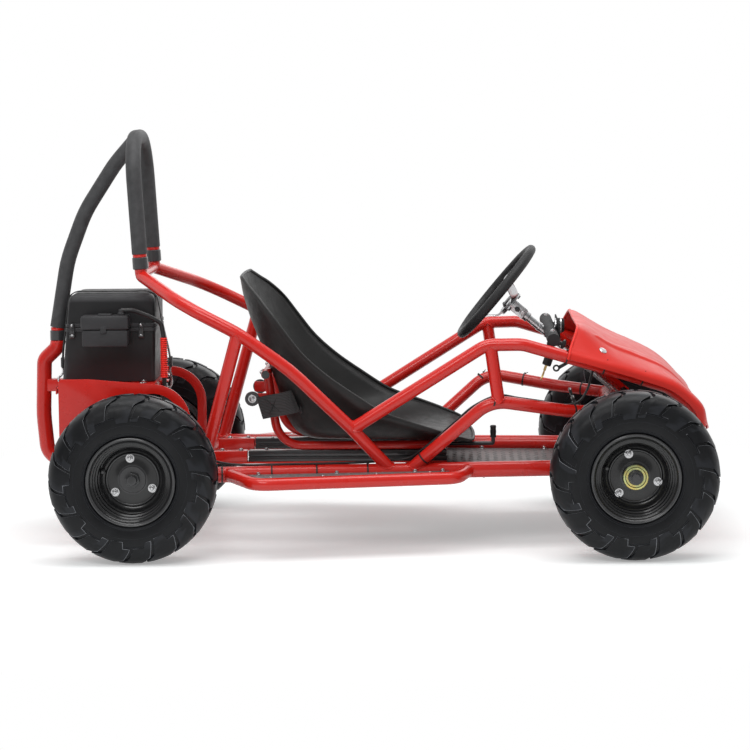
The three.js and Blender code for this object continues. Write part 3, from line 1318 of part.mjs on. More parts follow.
// Dash: a cross tube on the front tubes, its panel with a gauge, the lock and the column's brace
function makeDash() {
  let solid = straight(V(dash.x, -dash.halfLength, dash.z), V(dash.x, dash.halfLength, dash.z), tube.upper);
  const panel = block(
    V(dash.panelX - dash.panelWall, -dash.panelHalf, dash.panelLow),
    V(dash.panelX, dash.panelHalf, dash.panelHigh),
  );
  const stays = [-1, 1].map((side) => block(
    V(dash.x, side * dash.tabY - dash.tabWall / 2, dash.z - tube.upper / 2),
    V(dash.panelX, side * dash.tabY + dash.tabWall / 2, dash.z + tube.upper / 2),
  ));
  const gaugeZ = dash.panelHigh - dash.gaugeRadius / 2;
  const gauge = rod(
    V(dash.panelX - dash.gaugeLength / 2 - dash.panelWall, dash.gaugeY, gaugeZ),
    V(dash.panelX + dash.gaugeLength, dash.gaugeY, gaugeZ), dash.gaugeRadius, 12,
  );
  const lockTop = V(dash.lockX + dash.arm / 3, dash.lockY, dash.lockTop);
  const lockFoot = lockTop.clone().addScaledVector(keyAxis, dash.lockLength);
  const lock = rod(lockTop, lockFoot, dash.lockRadius, 12);
  const lockArm = block(
    V(dash.x - dash.arm, dash.lockY - dash.arm / 2, lockTop.z - dash.arm),
    V(dash.x, dash.lockY + dash.arm / 2, dash.z),
  );
  const brace = straight(
    V(dash.x, dash.braceY, dash.z),
    V(dash.x, dash.braceY, dash.z).addScaledVector(columnDown, dash.braceLength), dash.braceRadius, 10,
  );
  const collarFoot = columnPoint(dash.collarReach);
  const collarTop = columnPoint(dash.collarReach - dash.collarLength);
  const collar = rod(collarTop, collarFoot, dash.collarRadius, 12);
  solid = joined(solid, panel, ...stays, gauge, lock, lockArm, brace, collar);
  const columnRoom = rod(
    columnPoint(-column.topReach), columnPoint(columnFoot), column.radius + column.runGap, 8,
  );
  const keyRoom = rod(
    lockFoot.clone().addScaledVector(keyAxis, -keyPart.depth - gap),
    lockFoot.clone().addScaledVector(keyAxis, overrun), keyPart.radius + gap, 10,
  );
  const cutters = [columnRoom, keyRoom, frontTube(-1, grown), frontTube(1, grown)];
  add('dash_panel', trimmed(solid, ...cutters), looks.blackMetal);

  const shank = rod(
    lockFoot.clone().addScaledVector(keyAxis, -keyPart.depth),
    lockFoot.clone().addScaledVector(keyAxis, keyPart.shank), keyPart.radius, 10,
  );
  const bow = new THREE.BoxGeometry(keyPart.bowThickness, keyPart.bowWidth, keyPart.bow);
  const turn = new THREE.Quaternion().setFromUnitVectors(V(0, 0, -1), keyAxis);
  bow.applyQuaternion(turn);
  const bowAt = lockFoot.clone().addScaledVector(keyAxis, keyPart.shank + keyPart.bow / 2 - gap);
  bow.translate(bowAt.x, bowAt.y, bowAt.z);
  add('key', joined(shank, toSolid(bow)), looks.steel);
}

const keyAxis = V(-Math.sin(keyPart.lean * degrees), 0, -Math.cos(keyPart.lean * degrees));

// Pedals: each swings on a pin between two cheeks that stand on the floor pan
function pedalFrame(y) {
  const panTop = pan.z + pan.thickness / 2;
  return { pivot: V(pedal.pivotX, y, panTop + pedal.lift), panTop };
}

function pedalCheeks(y) {
  const { pivot, panTop } = pedalFrame(y);
  const reach = pedal.armHalf + 2 * gap;
  const cheeks = [-1, 1].map((side) => {
    const inside = y + side * reach;
    const outside = y + side * (reach + pedal.cheek);
    return block(
      V(pivot.x - pedal.barrel, Math.min(inside, outside), panTop - pan.thickness / 2),
      V(pivot.x + pedal.barrel, Math.max(inside, outside), pivot.z + pedal.barrel),
    );
  });
  const pin = rod(
    V(pivot.x, y - reach - pedal.cheek / 2, pivot.z), V(pivot.x, y + reach + pedal.cheek / 2, pivot.z),
    pedal.pinRadius, 10,
  );
  return joined(...cheeks, pin);
}

function makePedal(name, y) {
  const { pivot } = pedalFrame(y);
  const barrel = rod(
    V(0, -pedal.armHalf, 0), V(0, pedal.armHalf, 0), pedal.barrel, 14,
  );
  const armSolid = block(
    V(-pedal.armHalf, -pedal.armHalf, 0), V(pedal.armHalf, pedal.armHalf, pedal.reach),
  );
  const pad = block(
    V(-pedal.armHalf - pedal.padThickness, -pedal.padWidth / 2, pedal.reach - pedal.padHeight / 2),
    V(-pedal.armHalf + gap, pedal.padWidth / 2, pedal.reach + pedal.padHeight / 2),
  );
  const bore = rod(V(0, -overrun * 2, 0), V(0, overrun * 2, 0), pedal.pinRadius + axle.runGap, 12);
  const whole = less(joined(barrel, armSolid, pad), bore);
  add(name, whole.rotate([0, -pedal.lean, 0]).translate([pivot.x, pivot.y, pivot.z]), looks.blackMetal);
}

function makePedals() {
  makePedal('throttle_pedal', pedal.throttleY);
  makePedal('brake_pedal', pedal.brakeY);
}

// Seat base: two tracks on a cross bar; the seat frame's side tubes slide on them
function makeSeatBase() {
  const half = seatBase.width / 2;
  const parts = [];
  for (const [, side] of sides) {
    const [y0, y1] = [side * seatBase.y - half, side * seatBase.y + half];
    parts.push(block(V(seatBase.rearX, y0, seatBase.stripTop), V(seatBase.stepX, y1, seatBase.topZ)));
    parts.push(block(
      V(seatBase.stepX - gap, y0, seatBase.stripTop), V(seatBase.frontX, y1, seatBase.topZ),
    ));
    parts.push(block(
      V(seatBase.rearX, y0, seatBase.footZ), V(seatBase.frontX, y1, seatBase.stripTop + gap),
    ));
  }
  const barFoot = pan.z + pan.thickness / 2 + gap;
  const barHalf = railY(seatBase.crossX);
  parts.push(block(
    V(seatBase.crossX - seatBase.crossHalf, -barHalf, barFoot),
    V(seatBase.crossX + seatBase.crossHalf, barHalf, seatBase.stripTop),
  ));
  const cutters = [mainRail(-1, grown), mainRail(1, grown), lowTube(-1, grown), lowTube(1, grown)];
  add('seat_base', trimmed(joined(...parts), ...cutters), looks.blackMetal);
}

const seatTubeZ = seatBase.topZ + gap + tube.seat;

function seatRow(shares) {
  const [spineX, spineZ, lipX, lipY, lipZ] = shares;
  const x = (part) => share(seat.backX, seat.frontX, part);
  const z = (part) => share(seat.floorZ, seat.topZ, part);
  return { spine: V(x(spineX), 0, z(spineZ)), lip: V(x(lipX), seat.halfWidth * lipY, z(lipZ)) };
}

function seatGrid() {
  const count = seat.columns;
  return seatShares.map((shares) => {
    const { spine, lip } = seatRow(shares);
    return Array.from({ length: 2 * count + 1 }, (_, k) => {
      const s = (k - count) / count;
      const rise = Math.abs(s) ** seat.riseShare;
      const spread = Math.abs(s) ** seat.spreadShare * Math.sign(s);
      return V(share(spine.x, lip.x, rise), lip.y * spread, share(spine.z, lip.z, rise));
    });
  });
}

// The seat's back face at a height, from its middle line
function seatBackX(z) {
  const rows = seatShares.map(seatRow);
  for (let i = 0; i < rows.length - 1; i += 1) {
    const [a, b] = [rows[i].spine, rows[i + 1].spine];
    if (z <= a.z && z >= b.z) return share(a.x, b.x, (a.z - z) / (a.z - b.z));
  }
  return seat.backX;
}

function makeSeat() {
  const beltRoom = beltSolids(gap * 2);
  const shellSolid = shellOver(seatGrid(), shell.wall, seat.outward);
  add('seat_shell', trimmed(shellSolid, beltRoom.cut), looks.blackPlastic);

  const crossX = seatBackX(seatFrame.crossZ) - shell.wall - seatFrame.crossRoom - gap - tube.seat;
  const parts = [];
  for (const [, side] of sides) {
    const y = side * seatFrame.y;
    parts.push(pipe([
      V(seatFrame.frontX, y, seatTubeZ), V(seatFrame.backX, y, seatTubeZ),
      V(crossX, y, seatFrame.crossZ + tube.seat),
    ], tube.seat, seatFrame.bend, 8));
    const tabOut = seatFrame.y + tube.seat;
    const tabAt = (reach) => V(seatFrame.tabX, side * reach, seatFrame.tabZ);
    const [tabLow, tabHigh] = [side * (tabOut - seatFrame.tabWall), side * tabOut].sort((a, b) => a - b);
    parts.push(block(
      V(seatFrame.tabX - seatFrame.tabRadius, tabLow, seatFrame.tabZ - seatFrame.tabRadius),
      V(crossX + tube.seat, tabHigh, seatFrame.tabZ + seatFrame.tabRadius),
    ));
    parts.push(rod(tabAt(tabOut - gap), tabAt(tabOut + belt.eye + 2 * gap), belt.bore - gap, 6));
    parts.push(rod(tabAt(tabOut + belt.eye + 2 * gap), tabAt(tabOut + 2 * belt.eye), belt.headRadius, 6));
  }
  parts.push(straight(
    V(crossX, -seatFrame.crossHalf, seatFrame.crossZ), V(crossX, seatFrame.crossHalf, seatFrame.crossZ),
    tube.seat, 10,
  ));
  parts.push(straight(
    V(seatFrame.barX, -seatFrame.y, seatTubeZ - seatFrame.barDrop),
    V(seatFrame.barX, seatFrame.y, seatTubeZ - seatFrame.barDrop),
    seatFrame.barRadius, 8,
  ));
  const bearing = block(
    V(seatFrame.barX - lever.bearing, lever.y - lever.bearing, seatTubeZ - lever.bearing),
    V(seatFrame.barX + lever.bearing, lever.y + lever.bearing, seatTubeZ + tube.seat - 2 * gap),
  );
  const room = rod(
    V(seatFrame.barX - overrun * 3, lever.y, lever.z), V(seatFrame.barX + overrun * 3, lever.y, lever.z),
    lever.radius + axle.runGap, 8,
  );
  add('seat_frame', less(joined(...parts, bearing), room), looks.red);

  const at = (x) => V(x, lever.y, lever.z);
  const edge = seatFrame.barX + lever.bearing + gap;
  const rear = seatFrame.barX - lever.bearing - gap;
  add('seat_lever', joined(
    rod(at(rear - lever.collar), at(lever.frontX), lever.radius, 10),
    rod(at(rear - lever.collar), at(rear), lever.collarRadius, 10),
    rod(at(edge), at(edge + lever.collar), lever.collarRadius, 10),
    rod(
      V(lever.frontX, lever.y, lever.z - lever.radius), V(lever.frontX, lever.y, lever.gripTop),
      lever.radius, 10,
    ),
    rod(
      V(lever.frontX, lever.y, lever.gripFoot), V(lever.frontX, lever.y, lever.gripTop + gap),
      lever.gripRadius, 10,
    ),
  ), looks.blackMetal);
  add('seat_belt', beltRoom.belt, looks.webbing);
}

// Lap belt, buckled: from an eye on each tab of the seat frame, through the shell, over the seat
function beltSolids(room) {
  const centre = V(seatBackX(belt.slotZ), 0, belt.slotZ);
  const up = V(seatBackX(belt.slotZ + belt.width), 0, belt.slotZ + belt.width).sub(centre).normalize();
  const tilt = Math.atan2(-up.x, up.z);
  const eyeY = seatFrame.y + tube.seat + 2 * gap;
  const t = belt.thickness;
  const front = belt.buckleDepth / 2;
  const half = [
    [front, 0], [front + belt.slotIn, belt.slotY - t], [belt.slotIn - belt.slotOut, belt.slotY + t * 2],
    [seatFrame.tabX - centre.x + belt.ringRadius - t / 2, eyeY + t / 2],
  ];
  const strip = (grow) => {
    const route = [...half.slice(1).reverse().map(([n, y]) => [n, -y]), ...half];
    const outline = stripOutline(route, t / 2 + grow);
    const shape = new THREE.Shape(outline.map(([n, y]) => new THREE.Vector2(n, y)));
    const depth = belt.width + 2 * grow;
    const geometry = new THREE.ExtrudeGeometry(shape, { depth, bevelEnabled: false });
    geometry.translate(0, 0, -depth / 2);
    geometry.rotateY(-tilt);
    geometry.translate(centre.x, 0, centre.z);
    return toSolid(geometry);
  };
  const buckle = new THREE.BoxGeometry(belt.buckleDepth, belt.buckle, belt.width);
  buckle.translate(belt.buckleDepth / 2 + belt.clear, 0, 0);
  buckle.rotateY(-tilt);
  buckle.translate(centre.x, 0, centre.z);
  let whole = joined(strip(0), toSolid(buckle));
  for (const [, side] of sides) {
    const at = (y) => V(seatFrame.tabX, side * y, seatFrame.tabZ);
    const eye = rod(at(eyeY - gap), at(eyeY + belt.eye - gap), belt.ringRadius, 12);
    const bore = rod(at(eyeY - overrun), at(eyeY + belt.eye + overrun), belt.bore, 12);
    whole = less(joined(whole, eye), bore);
  }
  return { belt: whole, cut: strip(room) };
}

// Brake hose: from the pedal's side of the hood down to the rail, then back to the caliper
function makeHose() {
  const beside = hoseRail.map(([x, inward, z]) => [x, inward - railY(x), z]);
  const points = [...hoseFront, ...beside, ...hoseRear].map((turn) => V(...turn));
  const curve = new THREE.CatmullRomCurve3(points, false, 'centripetal');
  add('brake_hose', alongCurve(curve, hoseRadius, 25), looks.rubber);
}

function alongCurve(curve, radius, steps) {
  return toSolid(new THREE.ExtrudeGeometry(disc2d(radius, 8, 0.5), { steps, extrudePath: curve }));
}

makeMainRails();
makeUpperRails();
makeLowTubes();
makeHoop();
makeSideBars();
makeSidePlates();
makeBattery();
makeStrap();
makeLeads();
makeWheels();
makeRearAxle();
makeDrive();
makeCaliper();
makeFrontAxle();
makeSpindles();
makeTieRods();
makeSteering();
makeHood();
makeDash();
makePedals();
makeSeatBase();
makeSeat();
makeHose();

export default kart;
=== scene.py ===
import math

import bmesh
import bpy
from mathutils import Matrix, Quaternion, Vector


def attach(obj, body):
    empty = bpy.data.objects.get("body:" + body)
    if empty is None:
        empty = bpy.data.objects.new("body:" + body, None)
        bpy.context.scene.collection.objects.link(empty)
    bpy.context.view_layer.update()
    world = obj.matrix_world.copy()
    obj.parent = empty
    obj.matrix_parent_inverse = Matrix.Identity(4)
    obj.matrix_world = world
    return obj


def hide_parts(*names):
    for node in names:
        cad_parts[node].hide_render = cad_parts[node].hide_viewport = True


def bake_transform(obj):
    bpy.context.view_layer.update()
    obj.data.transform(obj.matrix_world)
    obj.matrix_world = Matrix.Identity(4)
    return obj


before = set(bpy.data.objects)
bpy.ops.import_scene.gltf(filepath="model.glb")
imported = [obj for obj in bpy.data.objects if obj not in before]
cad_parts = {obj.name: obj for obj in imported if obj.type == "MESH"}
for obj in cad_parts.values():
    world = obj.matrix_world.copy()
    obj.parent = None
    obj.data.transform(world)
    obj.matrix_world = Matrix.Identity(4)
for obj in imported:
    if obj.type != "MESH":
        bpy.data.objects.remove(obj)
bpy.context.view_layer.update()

# Small electric off road go kart.
# Shapes are worked in millimetres and scaled to metres when a piece is done.
# +X is the front, +Y the driver's left and +Z up. The near side of the photograph is the driver's right.

MM = 0.001
SIDES = (("right", -1), ("left", 1))
UP = Vector((0, 0, 1))
ACROSS = Vector((0, 1, 0))


# Shapes

def share(a, b, part):
    return a + (b - a) * part


def held(value):
    """The value, held between nought and one."""
    return min(max(value, 0), 1)


def round_y(centre, radius, degrees):
    """A place at this distance from a centre, counted round its cross axis from the front."""
    angle = math.radians(degrees)
    return centre + Vector((radius * math.cos(angle), 0, radius * math.sin(angle)))


def along_line(line, part):
    """The place at a share of the way along a line of points, and the line's heading there."""
    spot = part * (len(line) - 1)
    low = min(int(spot), len(line) - 2)
    heading = (line[low + 1] - line[low]).normalized()
    return line[low].lerp(line[low + 1], spot - low), heading


def apart(work):
    """Has each such shape worked by itself, which is quicker, and then added to the rest of its piece."""
    def added(bm, *sizes, **more):
        small = bmesh.new()
        work(small, *sizes, **more)
        mesh = bpy.data.meshes.new("part")
        small.to_mesh(mesh)
        small.free()
        bm.from_mesh(mesh)
        bpy.data.meshes.remove(mesh)
    return added


def smooth_line(points, per=6):
    """Points on a smooth curve through the given ones."""
    points = [Vector(p) for p in points]
    points = [points[0] * 2 - points[1], *points, points[-1] * 2 - points[-2]]
    line = []
    for a, b, c, d in zip(points, points[1:], points[2:], points[3:]):
        before, along, after = ((q - p).length ** 0.5 for p, q in ((a, b), (b, c), (c, d)))
        leave = ((b - a) / before - (c - a) / (before + along) + (c - b) / along) * along
        arrive = ((c - b) / along - (d - b) / (along + after) + (d - c) / after) * along
        for k in range(per):
            t = k / per
            line.append(b + leave * t + (3 * (c - b) - 2 * leave - arrive) * t ** 2
                        + (2 * (b - c) + leave + arrive) * t ** 3)
    line.append(points[-2])
    return line


def bent(points, radii, step=math.radians(7)):
    """A route of straight runs, with a round bend at each inner corner."""
    points = [Vector(p) for p in points]
    places = [points[0]]
    for i in range(1, len(points) - 1):
        before = points[i] - points[i - 1]
        after = points[i + 1] - points[i]
        inward, outward = before.normalized(), after.normalized()
        turn = inward.angle(outward)
        if turn < 0.001:
            continue
        wanted = radii[i - 1] if isinstance(radii, (list, tuple)) else radii
        radius = min(wanted, min(before.length, after.length) * 0.49 / math.tan(turn / 2))
        start = points[i] - inward * radius * math.tan(turn / 2)
        axis = inward.cross(outward).normalized()
        to_centre = axis.cross(inward)
        centre = start + to_centre * radius
        count = max(2, math.ceil(turn / step))
        for k in range(count + 1):
            places.append(centre - Quaternion(axis, turn * k / count) @ (to_centre * radius))
    places.append(points[-1])
    return places


def tube(bm, places, radius, sides=20, closed=False):
    """A round tube through the places, with flat ends."""
    curve = bpy.data.curves.new("route", "CURVE")
    curve.dimensions = "3D"
    curve.bevel_depth = radius
    curve.bevel_resolution = sides // 2 - 2
    curve.use_fill_caps = not closed
    spline = curve.splines.new("POLY")
    spline.points.add(len(places) - 1)
    for point, place in zip(spline.points, places):
        point.co = (*place, 1)
    spline.use_cyclic_u = closed
    holder = bpy.data.objects.new("route", curve)
    bm.from_mesh(holder.to_mesh())
    holder.to_mesh_clear()
    bpy.data.objects.remove(holder)
    bpy.data.curves.remove(curve)


def rod(bm, start, end, radius, sides=20, ease=0.0):
    """A straight round bar between two places, with eased ends."""
    start, end = Vector(start), Vector(end)
    length = (end - start).length
    ease = min(ease, radius / 2, length / 3)
    outline = [(0, 0), (0, radius - ease), (ease, radius), (length - ease, radius),
               (length, radius - ease), (length, 0)]
    if ease == 0:
        outline = [(0, 0), (0, radius), (length, radius), (length, 0)]
    turned(bm, outline, start, end - start, sides)


@apart
def turned(bm, outline, place, axis, steps=48, closed=False):
    """An outline of (distance along the axis, radius) spun round the axis."""
    along = Vector(axis).normalized()
    out = along.orthogonal().normalized()
    verts = [bm.verts.new(Vector(place) + along * a + out * r) for a, r in outline]
    pairs = list(zip(verts, verts[1:]))
    if closed:
        pairs.append((verts[-1], verts[0]))
    edges = [bm.edges.new(pair) for pair in pairs]
    bmesh.ops.spin(bm, geom=verts + edges, cent=Vector(place), axis=along, angle=2 * math.pi, steps=steps,
                   use_merge=True)


def ease_edges(bm, verts, width, segments=2, least=0.6):
    """Rounds the sharp edges among the given corners."""
    near = set(verts)
    edges = [e for e in {e for v in near for e in v.link_edges}
             if len(e.link_faces) == 2 and e.verts[0] in near and e.verts[1] in near
             and e.calc_face_angle(0) > least]
    bmesh.ops.bevel(bm, geom=edges, offset=width, affect="EDGES", segments=segments, profile=0.5,
                    material=-1, clamp_overlap=True)


@apart
def block(bm, low, high, ease=1.0, turn=None, about=None):
    """A box between two corners with eased edges, turned about a place if asked."""
    low, high = Vector(low), Vector(high)
    size = high - low
    matrix = Matrix.Translation((low + high) / 2) @ Matrix.Diagonal((*size, 1))
    made = bmesh.ops.create_cube(bm, size=1, matrix=matrix)["verts"]
    if turn is not None:
        bmesh.ops.rotate(bm, cent=Vector(about), matrix=turn, verts=made)
    if ease > 0:
        ease_edges(bm, made, ease)


@apart
def prism(bm, loops, pull, ease=0.8):
    """Outlines, the first the outer one, filled and pulled along a direction, with eased edges."""
    edges = []
    for loop in loops:
        verts = [bm.verts.new(Vector(p)) for p in loop]
        edges += [bm.edges.new((verts[i - 1], verts[i])) for i in range(len(verts))]
    if len(loops) == 1:
        faces = [bm.faces.new(verts)]
    else:
        made = bmesh.ops.triangle_fill(bm, edges=edges, use_beauty=True, use_dissolve=False)
        faces = [g for g in made["geom"] if isinstance(g, bmesh.types.BMFace)]
    made = bmesh.ops.extrude_face_region(bm, geom=faces)
    moved = [g for g in made["geom"] if isinstance(g, bmesh.types.BMVert)]
    bmesh.ops.translate(bm, verts=moved, vec=Vector(pull))
    if ease > 0:
        ease_edges(bm, moved + [v for f in faces for v in f.verts], ease)


@apart
def draped(bm, across, along, place):
    """A grid laid at place(u, v), each from 0 to 1."""
    verts = bmesh.ops.create_grid(bm, x_segments=across, y_segments=along, size=1)["verts"]
    for v in verts:
        v.co = place((v.co.x + 1) / 2, (v.co.y + 1) / 2)


@apart
def slab(bm, across, along, place, ease=0.8, edge_look=0):
    """A closed slab laid at place(u, v, height), whose top edges are eased and have a look of their own."""
    bmesh.ops.create_grid(bm, x_segments=across, y_segments=along, size=1)
    lifted = bmesh.ops.extrude_face_region(bm, geom=list(bm.faces))["geom"]
    top = [g for g in lifted if isinstance(g, bmesh.types.BMVert)]
    bmesh.ops.translate(bm, verts=top, vec=UP)
    faces = {g for g in lifted if isinstance(g, bmesh.types.BMFace)}
    for v in bm.verts:
        v.co = place((v.co.x + 1) / 2, (v.co.y + 1) / 2, v.co.z)
    rim = [e for e in bm.edges if len(faces.intersection(e.link_faces)) == 1]
    if ease > 0:
        made = bmesh.ops.bevel(bm, geom=rim, offset=ease, affect="EDGES", segments=1, profile=0.5,
                               material=-1)
        for f in made["faces"]:
            f.material_index = edge_look


@apart
def lofted(bm, rings):
    """A skin bridged over rings of points, with flat ends."""
    loops = []
    for ring in rings:
        verts = [bm.verts.new(Vector(p)) for p in ring]
        loops.append([bm.edges.new((verts[i - 1], verts[i])) for i in range(len(verts))])
    for a, b in zip(loops, loops[1:]):
        bmesh.ops.bridge_loops(bm, edges=a + b)
    for loop in (loops[0], loops[-1]):
        bmesh.ops.edgenet_fill(bm, edges=loop)


def weld(bm, foot, along, radius, other, other_radius, bead=1.7):
    """The bead where a tube that starts at foot meets another tube through the same place."""
    along = Vector(along).normalized()
    other = Vector(other).normalized()
    side = along.cross(other).normalized()
    face = side.cross(along)
    ring = []
    for k in range(40):
        angle = 2 * math.pi * k / 40
        spoke = (side * math.cos(angle) + face * math.sin(angle)) * radius
        flat_spoke = spoke - other * spoke.dot(other)
        flat_along = along - other * along.dot(other)
        a = flat_along.dot(flat_along)
        b = 2 * flat_spoke.dot(flat_along)
        c = flat_spoke.dot(flat_spoke) - other_radius ** 2
        reach = (-b + math.sqrt(max(b * b - 4 * a * c, 0))) / (2 * a)
        ripple = 0.25 * bead * math.sin(k * 2.6)
        ring.append(Vector(foot) + spoke * (1 + ripple / radius) + along * reach)
    tube(bm, ring, bead, 8, closed=True)


def hexagon_nut(bm, place, axis, radius, height, ease=0.8):
    along = Vector(axis).normalized()
    out = along.orthogonal().normalized()
    ring = [Vector(place) + Quaternion(along, math.radians(60 * k)) @ (out * radius) for k in range(6)]
    prism(bm, [ring], along * height, ease)


def bolt(bm, place, axis, radius, height=None, washer=True):
    """A hexagon bolt head on its washer, with a domed tip."""
    along = Vector(axis).normalized()
    height = height or radius * 0.8
    base = Vector(place)
    if washer:
        rod(bm, base, base + along * radius * 0.22, radius * 1.35, 20, 0.2)
        base = base + along * radius * 0.22
    hexagon_nut(bm, base, along, radius, height, radius * 0.12)
    turned(bm, [(0, radius * 0.55), (height * 0.28, radius * 0.42), (height * 0.36, 0)],
           base + along * height, along, 14)


def piece(name, bm, body, finish, nodes=(), crease=35):
    """Turns the worked shape into a piece in metres that rides on its body, or on none yet."""
    bmesh.ops.remove_doubles(bm, verts=bm.verts, dist=0.004)
    bmesh.ops.dissolve_degenerate(bm, edges=bm.edges, dist=0.002)
    bmesh.ops.recalc_face_normals(bm, faces=bm.faces)
    bmesh.ops.scale(bm, verts=bm.verts, vec=(MM, MM, MM))
    mesh = bpy.data.meshes.new(name)
    bm.to_mesh(mesh)
    bm.free()
    mesh.shade_smooth()
    mesh.set_sharp_from_angle(angle=math.radians(crease))
    thing = bpy.data.objects.new(name, mesh)
    bpy.context.collection.objects.link(thing)
    mesh.materials.append(finish)
    if body:
        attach(thing, body)
    if nodes:
        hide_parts(*nodes)
    return thing


def thicken(thing, wall):
    """Gives a skin its wall, on the side away from its faces."""
    solid = thing.modifiers.new("wall", "SOLIDIFY")
    solid.thickness = wall * MM
    solid.offset = -1
    solid.use_even_offset = True


# Finishes

class Finish:
    """A material in the making: its nodes, and the shader that they feed."""

    def __init__(self, name, roughness=0.5, metallic=0.0, coat=0.0, coat_roughness=0.1, specular=0.5):
        self.material = bpy.data.materials.new(name)
        self.material.use_nodes = True
        self.nodes = self.material.node_tree.nodes
        self.links = self.material.node_tree.links
        self.shader = self.nodes["Principled BSDF"]
        self.shader.inputs["Roughness"].default_value = roughness
        self.shader.inputs["Metallic"].default_value = metallic
        self.shader.inputs["Coat Weight"].default_value = coat
        self.shader.inputs["Coat Roughness"].default_value = coat_roughness
        self.shader.inputs["Specular IOR Level"].default_value = specular
        self.place = self.nodes.new("ShaderNodeTexCoord").outputs["Object"]
        self.height = None

    def put(self, kind, **inputs):
        node = self.nodes.new(kind)
        for key, value in inputs.items():
            socket = node.inputs[key.replace("_", " ").title()]
            if isinstance(value, bpy.types.NodeSocket):
                self.links.new(value, socket)
            else:
                socket.default_value = value
        return node

    def noise(self, scale, detail=4.0, roughness=0.55, place=None):
        return self.put("ShaderNodeTexNoise", vector=place or self.place, scale=scale, detail=detail,
                        roughness=roughness).outputs["Fac"]

    def cells(self, scale, place=None):
        return self.put("ShaderNodeTexVoronoi", vector=place or self.place, scale=scale).outputs["Distance"]

    def stretched(self, scale):
        return self.put("ShaderNodeMapping", vector=self.place, scale=scale).outputs["Vector"]

    def span(self, value, low, high, new_low, new_high):
        node = self.nodes.new("ShaderNodeMapRange")
        self.links.new(value, node.inputs["Value"])
        for key, number in (("From Min", low), ("From Max", high), ("To Min", new_low),
                            ("To Max", new_high)):
            node.inputs[key].default_value = number
        return node.outputs["Result"]

    def blend(self, factor, dark, light):
        node = self.nodes.new("ShaderNodeMix")
        node.data_type = "RGBA"
        if isinstance(factor, bpy.types.NodeSocket):
            self.links.new(factor, node.inputs["Factor"])
        else:
            node.inputs["Factor"].default_value = factor
        for index, value in ((6, dark), (7, light)):
            if isinstance(value, bpy.types.NodeSocket):
                self.links.new(value, node.inputs[index])
            else:
                node.inputs[index].default_value = (*value, 1)
        return node.outputs[2]

    def colour(self, value):
        self.links.new(value, self.shader.inputs["Base Color"])

    def rough(self, value):
        self.links.new(value, self.shader.inputs["Roughness"])

    def relief(self, height, distance, strength=1.0):
        """Adds a bump of the given depth in metres on top of those added before."""
        node = self.put("ShaderNodeBump", height=height, distance=distance, strength=strength)
        if self.height is not None:
            self.links.new(self.height, node.inputs["Normal"])
        self.height = node.outputs["Normal"]
        self.links.new(self.height, self.shader.inputs["Normal"])

    def edges(self, colour, edge_highlight, amount):
        """Paints a lighter tone on the sharp, exposed edges: a painted highlight, as if they caught the
        light.
        """
        # Pointiness picks out the sharp edges, which get the painted highlight tone
        point = self.nodes.new("ShaderNodeNewGeometry").outputs["Pointiness"]
        return self.blend(self.span(point, 0.5 + amount, 0.5 + amount * 2.4, 0, 1), colour, edge_highlight)


def tinted(rgb, by):
    return tuple(c * by for c in rgb)


def powder_coat(name, rgb, roughness=0.3, edge_highlight=None):
    f = Finish(name, roughness, coat=0.5, coat_roughness=0.13, specular=0.3)
    broad = f.span(f.noise(9, 3), 0.35, 0.65, 0, 1)
    base = f.blend(broad, tinted(rgb, 0.92), tinted(rgb, 1.05))
    # Sharp edges are painted lighter: painted highlight
    f.colour(f.edges(base, edge_highlight or tinted(rgb, 1.2), 0.012))
    f.rough(f.span(f.noise(45, 5), 0.3, 0.7, roughness - 0.05, roughness + 0.08))
    f.relief(f.noise(420, 3), 0.00005, 0.15)
    return f.material


def gloss_moulding(name, rgb):
    f = Finish(name, 0.4, coat=0.05, coat_roughness=0.26, specular=0.14)
    broad = f.span(f.noise(5, 2), 0.35, 0.65, 0, 1)
    base = f.blend(broad, tinted(rgb, 0.95), tinted(rgb, 1.04))
    # Sharp edges are painted lighter: painted highlight
    f.colour(f.edges(base, tinted(rgb, 1.15), 0.012))
    f.rough(f.span(f.noise(30, 4), 0.3, 0.7, 0.32, 0.42))
    f.relief(f.noise(120, 2), 0.00005, 0.1)
    return f.material


def grained_plastic(name, rgb, roughness=0.55, grain=1300, depth=0.00014):
    f = Finish(name, roughness, specular=0.3)
    broad = f.span(f.noise(12, 4), 0.3, 0.7, 0, 1)
    base = f.blend(broad, tinted(rgb, 0.85), tinted(rgb, 1.15))
    # Sharp edges are painted much lighter: painted highlight along them
    f.colour(f.edges(base, tinted(rgb, 2.2), 0.015))
    f.rough(f.span(f.noise(60, 5), 0.3, 0.7, roughness - 0.07, roughness + 0.09))
    f.relief(f.cells(grain), depth, 0.5)
    return f.material


def tread_rubber(name, rgb):
    f = Finish(name, 0.36, specular=0.24)
    dust = f.span(f.noise(22, 6), 0.42, 0.75, 0, 1)
    base = f.blend(dust, rgb, tinted(rgb, 1.5))
    # Sharp edges are painted much lighter: painted highlight along them
    f.colour(f.edges(base, tinted(rgb, 3.0), 0.02))
    f.rough(f.span(f.noise(35, 5), 0.3, 0.7, 0.33, 0.5))
    f.relief(f.noise(260, 5, 0.6), 0.0002, 0.3)
    f.relief(f.cells(900), 0.0001, 0.3)
    return f.material


def foam_sleeve(name, rgb):
    f = Finish(name, 0.62)
    mottled = f.span(f.noise(60, 6), 0.3, 0.7, 0, 1)
    f.colour(f.blend(mottled, tinted(rgb, 0.8), tinted(rgb, 1.3)))
    f.relief(f.noise(650, 4), 0.0007, 0.55)
    f.relief(f.noise(40, 3), 0.0012, 0.3)
    return f.material


